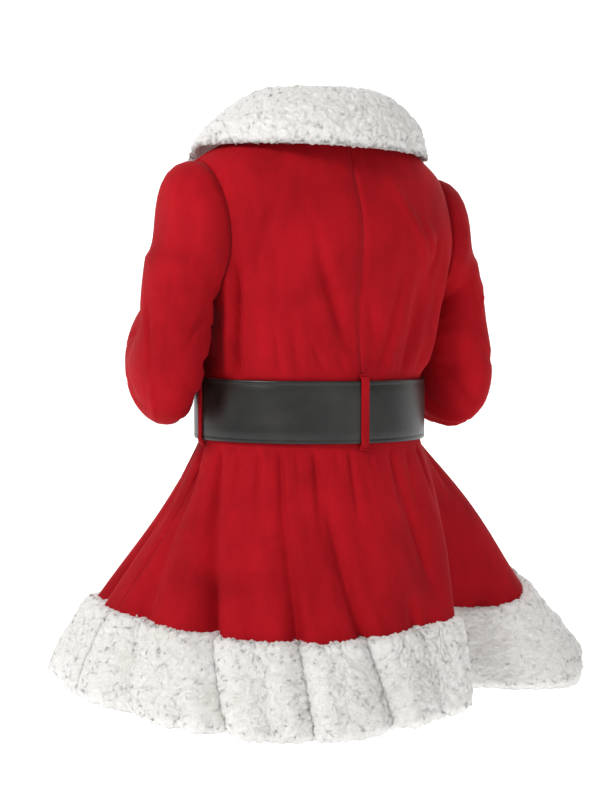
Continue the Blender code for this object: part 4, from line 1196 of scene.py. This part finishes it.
def make_buckle(metal):
    """A square frame with round corners and a crowned face, and its prong, bevelled like cast metal."""
    middle = belt_ring(BUCKLE_ANGLE, BELT_TOP - BELT_HEIGHT / 2, BELT_IN + TIP_LIFT + BELT_THICK)
    face = middle[1] + BUCKLE_SEAT
    wide, high = BUCKLE_OUT
    corner = BUCKLE_CORNER
    bm = bmesh.new()
    outline = []
    for sx, sz, first in ((1, 1, 0.0), (-1, 1, 90.0), (-1, -1, 180.0), (1, -1, 270.0)):
        x, z = sx * (wide / 2 - corner), sz * (high / 2 - corner)
        for turn in np.radians(first + np.linspace(0.0, 90.0, CORNER_STEPS)):
            outline.append((x, z, math.cos(turn), math.sin(turn)))
    section = []
    for turn in np.radians(np.linspace(0.0, 360.0, BAR_STEPS + 1)[:-1]):
        section.append((0.5 + 0.5 * full(math.cos(turn)), full(math.sin(turn))))
    loops = []
    for x, z, dx, dz in outline:
        loop = []
        for share, over in section:
            out = corner - BUCKLE_BAR + BUCKLE_BAR * share
            depth = BUCKLE_THICK / 2 * (1 + over)
            loop.append(bm.verts.new((x + dx * out, face - depth, middle[2] + z + dz * out)))
        loops.append(loop)
    skin(bm, loops + loops[:1])
    bmesh.ops.recalc_face_normals(bm, faces=bm.faces)
    frame_piece = finished("buckle_cast_frame", bm, metal)
    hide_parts("buckle_frame")
    bm = bmesh.new()
    reach = wide - BUCKLE_BAR * 1.2
    front = face - BUCKLE_THICK - SEAM_GAP - PRONG_RADIUS
    loops = []
    for share, size in PRONG_SHAPE:
        loop = []
        for turn in np.radians(np.arange(PRONG_STEPS) * 360.0 / PRONG_STEPS):
            y = front + PRONG_RADIUS * size * math.cos(turn)
            z = middle[2] + PRONG_RADIUS * size * math.sin(turn)
            loop.append(bm.verts.new((reach * (share - 0.5), y, z)))
        loops.append(loop)
    skin(bm, loops)
    bm.faces.new(loops[0])
    bm.faces.new(loops[-1])
    bmesh.ops.recalc_face_normals(bm, faces=bm.faces)
    prong = finished("buckle_cast_prong", bm, metal)
    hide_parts("buckle_prong")


def finished(name, bm, look):
    """A cast piece from its bmesh, with its sharp edges kept."""
    mesh = bpy.data.meshes.new(name)
    bm.to_mesh(mesh)
    bm.free()
    piece = placed(name, mesh, (look,))
    mesh.set_sharp_from_angle(angle=math.radians(50))
    return piece


def skirt_out(angle, height):
    """How far the skirt's cloth stands out from the waist at a height under the belt."""
    if height > SKIRT_START:
        return 0.0
    flare, length, _ = curve(FLARE, angle)
    down = (SKIRT_START - height) / math.sqrt(length**2 - flare**2)
    return float(np.linalg.norm((skirt_point(angle, down) - skirt_point(angle, 0.0))[:2]))


def make_loops(velvet):
    """Narrow strips of velvet over the belt, folded at their long edges and sewn down above and below it."""
    for name, angle, stand in LOOPS:
        half = math.degrees(LOOP_WIDTH / 2 / BELT_RADIUS)
        over = BELT_IN + BELT_THICK + SEAM_GAP
        top, bottom = BELT_TOP + LOOP_SLACK, BELT_TOP - BELT_HEIGHT - LOOP_SLACK
        foot = CLOTH / 2 + LOOP_CLEAR
        rise = float(belt_ring(angle, 0.0, 0.0)[2])
        route = [
            (0, foot, top + LOOP_REACH),
            (1, foot, top + LOOP_TURN),
            (2, over, top + 0.0004),
            (3, over, top - 0.0200),
            (4, over + stand * 0.15, bottom + 0.0220),
            (5, over + stand, bottom + 0.0080),
            (6, over + stand, bottom - LOOP_SLACK),
        ]
        for place, below in ((7, LOOP_TURN), (8, LOOP_REACH)):
            out = skirt_out(angle, bottom - below + rise) + foot + LOOP_SLACK
            route.append((place, out, bottom - below))
        path = curve(route, np.linspace(0.0, 8.0, 72))
        across = np.linspace(-1.0, 1.0, 11)[None, :]
        crown = 0.0004 * (1 - across**4) - 0.0002 * bump(np.abs(across) - 0.72, 0.16)
        points = belt_ring(angle + across * half, path[:, 1:2], path[:, 0:1] + LOOP_THICK / 2 + crown)
        normals = grid_normals(points, (0.0, -0.02, -0.29))
        piece = grid_piece(name + "_strip", points, normals, (velvet, velvet), thickness=LOOP_THICK)
        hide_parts(name)


def new_material(name, roughness, metallic=0.0):
    look = bpy.data.materials.new(name)
    look.use_nodes = True
    nodes = look.node_tree.nodes
    shader = next(node for node in nodes if node.type == "BSDF_PRINCIPLED")
    shader.inputs["Roughness"].default_value = roughness
    shader.inputs["Metallic"].default_value = metallic
    place = nodes.new("ShaderNodeTexCoord")
    return look, shader, place


def noise_node(look, place, scale, detail=4.0, rough=0.55, distortion=0.0, stretch=None):
    nodes, links = look.node_tree.nodes, look.node_tree.links
    texture = nodes.new("ShaderNodeTexNoise")
    texture.inputs["Scale"].default_value = scale
    texture.inputs["Detail"].default_value = detail
    texture.inputs["Roughness"].default_value = rough
    texture.inputs["Distortion"].default_value = distortion
    source = place.outputs["Object"]
    if stretch:
        mapping = nodes.new("ShaderNodeMapping")
        mapping.inputs["Scale"].default_value = stretch
        links.new(source, mapping.inputs["Vector"])
        source = mapping.outputs["Vector"]
    links.new(source, texture.inputs["Vector"])
    return texture.outputs["Fac"]


def ramp_node(look, value, stops):
    nodes, links = look.node_tree.nodes, look.node_tree.links
    ramp = nodes.new("ShaderNodeValToRGB")
    while len(ramp.color_ramp.elements) < len(stops):
        ramp.color_ramp.elements.new(0.5)
    for element, (at, colour) in zip(ramp.color_ramp.elements, stops):
        element.position = at
        element.color = (*colour, 1.0)
    links.new(value, ramp.inputs["Fac"])
    return ramp.outputs["Color"]


def mix_node(look, amount, first, second, blend="MIX"):
    nodes, links = look.node_tree.nodes, look.node_tree.links
    mix = nodes.new("ShaderNodeMix")
    mix.data_type = "RGBA"
    mix.blend_type = blend
    for socket, value in ((mix.inputs[0], amount), (mix.inputs[6], first), (mix.inputs[7], second)):
        if isinstance(value, float):
            socket.default_value = value
        elif isinstance(value, tuple):
            socket.default_value = (*value, 1.0)
        else:
            links.new(value, socket)
    return mix.outputs[2]


def bump_node(look, height, strength, distance, before=None):
    nodes, links = look.node_tree.nodes, look.node_tree.links
    node = nodes.new("ShaderNodeBump")
    node.inputs["Strength"].default_value = strength
    node.inputs["Distance"].default_value = distance
    links.new(height, node.inputs["Height"])
    if before:
        links.new(before, node.inputs["Normal"])
    return node.outputs["Normal"]


def velvet_look(name, deep, rim):
    """Cotton velvet: a short pile with soft patches of nap, brighter where it is seen edge on."""
    look, shader, place = new_material(name, 0.82)
    links = look.node_tree.links
    nap = noise_node(look, place, 11.0, 3.0, 0.5, 0.6)
    fine = noise_node(look, place, 420.0, 2.0, 0.6)
    streak = noise_node(look, place, 60.0, 3.0, 0.6, 0.3, stretch=(1.0, 1.0, 0.22))
    colour = ramp_node(look, nap, ((0.30, deep), (0.72, rim)))
    dark = tuple(part * 0.72 for part in deep)
    colour = mix_node(look, 0.22, colour, ramp_node(look, streak, ((0.35, dark), (0.65, rim))))
    colour = mix_node(look, 0.10, colour, ramp_node(look, fine, ((0.30, dark), (0.75, rim))))
    links.new(colour, shader.inputs["Base Color"])
    shader.inputs["Sheen Weight"].default_value = 0.12
    shader.inputs["Sheen Roughness"].default_value = 0.38
    shader.inputs["Sheen Tint"].default_value = (1.0, 0.12, 0.14, 1.0)
    shader.inputs["Specular IOR Level"].default_value = 0.08
    normal = bump_node(look, streak, 0.25, 0.0006)
    normal = bump_node(look, fine, 0.35, 0.0003, normal)
    links.new(normal, shader.inputs["Normal"])
    return look


def lining_look():
    """The plain woven back of the cloth."""
    look, shader, place = new_material("velvet_back_weave", 0.9)
    links = look.node_tree.links
    weave = noise_node(look, place, 700.0, 2.0, 0.5)
    colour = ramp_node(look, weave, ((0.3, (0.20, 0.006, 0.010)), (0.7, (0.33, 0.012, 0.020))))
    links.new(colour, shader.inputs["Base Color"])
    links.new(bump_node(look, weave, 0.3, 0.0004), shader.inputs["Normal"])
    return look


def fur_look(name, deep, pale):
    """White curly faux fur, with painted shade: greyer down between its curls and at its rolled edges, where
    the pile is low.
    """
    look, shader, place = new_material(name, 0.9)
    nodes, links = look.node_tree.nodes, look.node_tree.links
    pile_shade = nodes.new("ShaderNodeAttribute")
    pile_shade.attribute_name = "pile"
    strands = noise_node(look, place, 430.0, 4.0, 0.65, 2.2)
    patches = noise_node(look, place, 26.0, 3.0, 0.55, 0.5)
    # deep is the grey of painted shade down in the pile, pale the fur's own white; the pile's height picks
    # between them
    middle = tuple((a + b * 2) / 3 for a, b in zip(deep, pale))
    colour = ramp_node(look, pile_shade.outputs["Fac"], ((0.02, deep), (0.26, middle), (0.50, pale)))
    tint = ramp_node(look, patches, ((0.32, (0.94, 0.93, 0.91)), (0.66, (1.0, 1.0, 1.0))))
    colour = mix_node(look, 1.0, colour, tint, "MULTIPLY")
    grain = ramp_node(look, strands, ((0.32, (0.95, 0.95, 0.948)), (0.60, (1.0, 1.0, 1.0))))
    colour = mix_node(look, 0.8, colour, grain, "MULTIPLY")
    links.new(colour, shader.inputs["Base Color"])
    shader.inputs["Sheen Weight"].default_value = 0.10
    shader.inputs["Sheen Roughness"].default_value = 0.5
    shader.inputs["Specular IOR Level"].default_value = 0.15
    shader.inputs["Subsurface Weight"].default_value = 0.55
    shader.inputs["Subsurface Radius"].default_value = (0.012, 0.012, 0.012)
    shader.inputs["Subsurface Scale"].default_value = 1.0
    swirls = noise_node(look, place, 170.0, 3.0, 0.6, 3.2)
    normal = bump_node(look, swirls, 0.80, 0.0026)
    links.new(bump_node(look, strands, 0.40, 0.0008, normal), shader.inputs["Normal"])
    return look


def backing_look():
    """The smooth knitted back of the fur."""
    look, shader, place = new_material("fur_backing_knit", 0.9)
    links = look.node_tree.links
    knit = noise_node(look, place, 520.0, 2.0, 0.5, 0.0, stretch=(1.0, 1.0, 2.2))
    colour = ramp_node(look, knit, ((0.3, (0.52, 0.51, 0.49)), (0.7, (0.66, 0.65, 0.63))))
    links.new(colour, shader.inputs["Base Color"])
    links.new(bump_node(look, knit, 0.3, 0.0004), shader.inputs["Normal"])
    return look


def leather_look():
    """Black faux leather with a fine pressed grain and a satin face."""
    look, shader, place = new_material("black_faux_leather", 0.4)
    nodes, links = look.node_tree.nodes, look.node_tree.links
    grain = nodes.new("ShaderNodeTexVoronoi")
    grain.feature = "DISTANCE_TO_EDGE"
    grain.inputs["Scale"].default_value = 620.0
    links.new(place.outputs["Object"], grain.inputs["Vector"])
    patches = noise_node(look, place, 16.0, 4.0, 0.55, 0.4)
    # Painted highlight: lighter patches laid at random stand in for soft highlights on the satin face; the
    # roughness rises in the same patches
    colour = ramp_node(look, patches, ((0.3, (0.0035, 0.0034, 0.0030)), (0.7, (0.0230, 0.0220, 0.0195))))
    links.new(colour, shader.inputs["Base Color"])
    rough = nodes.new("ShaderNodeMapRange")
    rough.inputs["To Min"].default_value = 0.24
    rough.inputs["To Max"].default_value = 0.43
    links.new(patches, rough.inputs["Value"])
    links.new(rough.outputs["Result"], shader.inputs["Roughness"])
    shader.inputs["Specular IOR Level"].default_value = 0.42
    normal = bump_node(look, grain.outputs["Distance"], 0.30, 0.0004)
    normal = bump_node(look, patches, 0.25, 0.0008, normal)
    links.new(normal, shader.inputs["Normal"])
    return look


def thread_look():
    look, shader, place = new_material("black_thread", 0.6)
    links = look.node_tree.links
    twist = noise_node(look, place, 1500.0, 2.0, 0.5)
    colour = ramp_node(look, twist, ((0.3, (0.012, 0.012, 0.012)), (0.7, (0.045, 0.044, 0.042))))
    links.new(colour, shader.inputs["Base Color"])
    return look


def metal_look():
    """Gold-toned cast metal, a little dulled and finely scratched."""
    look, shader, place = new_material("gold_toned_metal", 0.28, 1.0)
    nodes, links = look.node_tree.nodes, look.node_tree.links
    dull = noise_node(look, place, 90.0, 5.0, 0.6, 0.4)
    scratch = noise_node(look, place, 300.0, 3.0, 0.7, 0.0, stretch=(0.15, 1.0, 1.0))
    colour = ramp_node(look, dull, ((0.3, (0.60, 0.42, 0.16)), (0.7, (0.80, 0.60, 0.27))))
    links.new(colour, shader.inputs["Base Color"])
    rough = nodes.new("ShaderNodeMapRange")
    rough.inputs["To Min"].default_value = 0.20
    rough.inputs["To Max"].default_value = 0.42
    links.new(scratch, rough.inputs["Value"])
    links.new(rough.outputs["Result"], shader.inputs["Roughness"])
    links.new(bump_node(look, scratch, 0.08, 0.0002), shader.inputs["Normal"])
    return look


def camera_ways():
    turn, down = math.radians(VIEW_TURN), math.radians(VIEW_DOWN)
    toward = Vector((math.sin(turn), math.cos(turn), 0.0))
    right = Vector((-math.cos(turn), math.sin(turn), 0.0))
    look = -toward * math.cos(down) + Vector((0.0, 0.0, -math.sin(down)))
    return toward, right, look


def make_camera():
    toward, right, look = camera_ways()
    data = bpy.data.cameras.new("camera")
    data.sensor_fit = "VERTICAL"
    data.sensor_height = 24.0
    data.lens = LENS
    camera = bpy.data.objects.new("camera", data)
    camera.location = toward * VIEW_FAR - right * VIEW_ACROSS + Vector((0.0, 0.0, VIEW_HEIGHT))
    camera.rotation_euler = look.to_track_quat("-Z", "Y").to_euler()
    bpy.context.scene.collection.objects.link(camera)
    bpy.context.scene.camera = camera


def make_stage():
    """A pale studio floor well below the coat, which bends up into its own backdrop."""
    toward, right, _ = camera_ways()
    bm = bmesh.new()
    bmesh.ops.create_grid(bm, x_segments=2, y_segments=60, size=1.0)
    for vert in bm.verts:
        run = (vert.co.y + 1) / 2 * (STAGE_FRONT + STAGE_BACK + STAGE_BEND * math.pi / 2 + STAGE_HEIGHT)
        bent = min(max(run - STAGE_FRONT - STAGE_BACK, 0.0) / STAGE_BEND, math.pi / 2)
        risen = max(run - STAGE_FRONT - STAGE_BACK - STAGE_BEND * math.pi / 2, 0.0)
        back = min(run, STAGE_FRONT + STAGE_BACK) - STAGE_FRONT + STAGE_BEND * math.sin(bent)
        up = STAGE_BEND * (1 - math.cos(bent)) + risen
        vert.co = right * vert.co.x * STAGE_HALF_WIDTH - toward * back + Vector((0.0, 0.0, FLOOR_HEIGHT + up))
    bmesh.ops.recalc_face_normals(bm, faces=bm.faces)
    mesh = bpy.data.meshes.new("studio_floor")
    bm.to_mesh(mesh)
    bm.free()
    mesh.shade_smooth()
    look, shader, _ = new_material("studio_white", 0.9)
    shader.inputs["Base Color"].default_value = (0.92, 0.92, 0.92, 1.0)
    shader.inputs["Emission Color"].default_value = (1.0, 1.0, 1.0, 1.0)
    shader.inputs["Emission Strength"].default_value = 0.55
    mesh.materials.append(look)
    floor = bpy.data.objects.new("studio_floor", mesh)
    bpy.context.scene.collection.objects.link(floor)


def make_light(name, power, size, across, up, toward_camera):
    toward, right, _ = camera_ways()
    data = bpy.data.lights.new(name, "AREA")
    data.energy = power
    data.size = size
    light = bpy.data.objects.new(name, data)
    light.location = right * across + toward * toward_camera + Vector((0.0, 0.0, up))
    aim = Vector((0.0, 0.0, -0.3)) - light.location
    light.rotation_euler = aim.to_track_quat("-Z", "Y").to_euler()
    bpy.context.scene.collection.objects.link(light)


def make_lights():
    make_light("key_light", 56.0, 0.9, -1.7, 1.5, 1.9)
    make_light("fill_light", 9.0, 2.2, 1.6, 0.4, 2.4)
    make_light("back_light", 26.0, 2.2, 0.6, 1.6, -2.4)
    world = bpy.data.worlds.new("studio")
    world.use_nodes = True
    shade = next(node for node in world.node_tree.nodes if node.type == "BACKGROUND")
    shade.inputs["Color"].default_value = (1.0, 1.0, 1.0, 1.0)
    shade.inputs["Strength"].default_value = 0.42
    bpy.context.scene.world = world
    bpy.context.scene.view_settings.view_transform = "Standard"


def main():
    make_camera()
    make_stage()
    make_lights()
    velvet = velvet_look("red_cotton_velvet", (0.270, 0.0028, 0.0070), (0.430, 0.0056, 0.0122))
    lining = lining_look()
    # The fur's first colour is painted shade, the grey down in its pile; the second is its own white
    fur = fur_look("white_curly_fur", (0.70, 0.690, 0.670), (0.840, 0.828, 0.806))
    backing = backing_look()
    edges = make_bodice(velvet, lining)
    make_sleeves(edges, velvet, lining)
    make_skirt(velvet, lining, fur, backing)
    make_collar(fur, backing)
    make_cuffs(fur, backing)
    make_strap(leather_look(), thread_look())
    make_buckle(metal_look())
    make_loops(velvet)


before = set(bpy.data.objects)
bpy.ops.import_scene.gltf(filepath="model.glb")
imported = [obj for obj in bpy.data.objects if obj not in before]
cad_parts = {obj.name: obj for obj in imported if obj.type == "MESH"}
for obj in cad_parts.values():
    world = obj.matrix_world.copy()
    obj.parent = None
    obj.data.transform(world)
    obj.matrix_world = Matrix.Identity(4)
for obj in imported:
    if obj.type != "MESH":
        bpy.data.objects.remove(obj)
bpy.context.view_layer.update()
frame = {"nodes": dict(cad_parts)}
main()
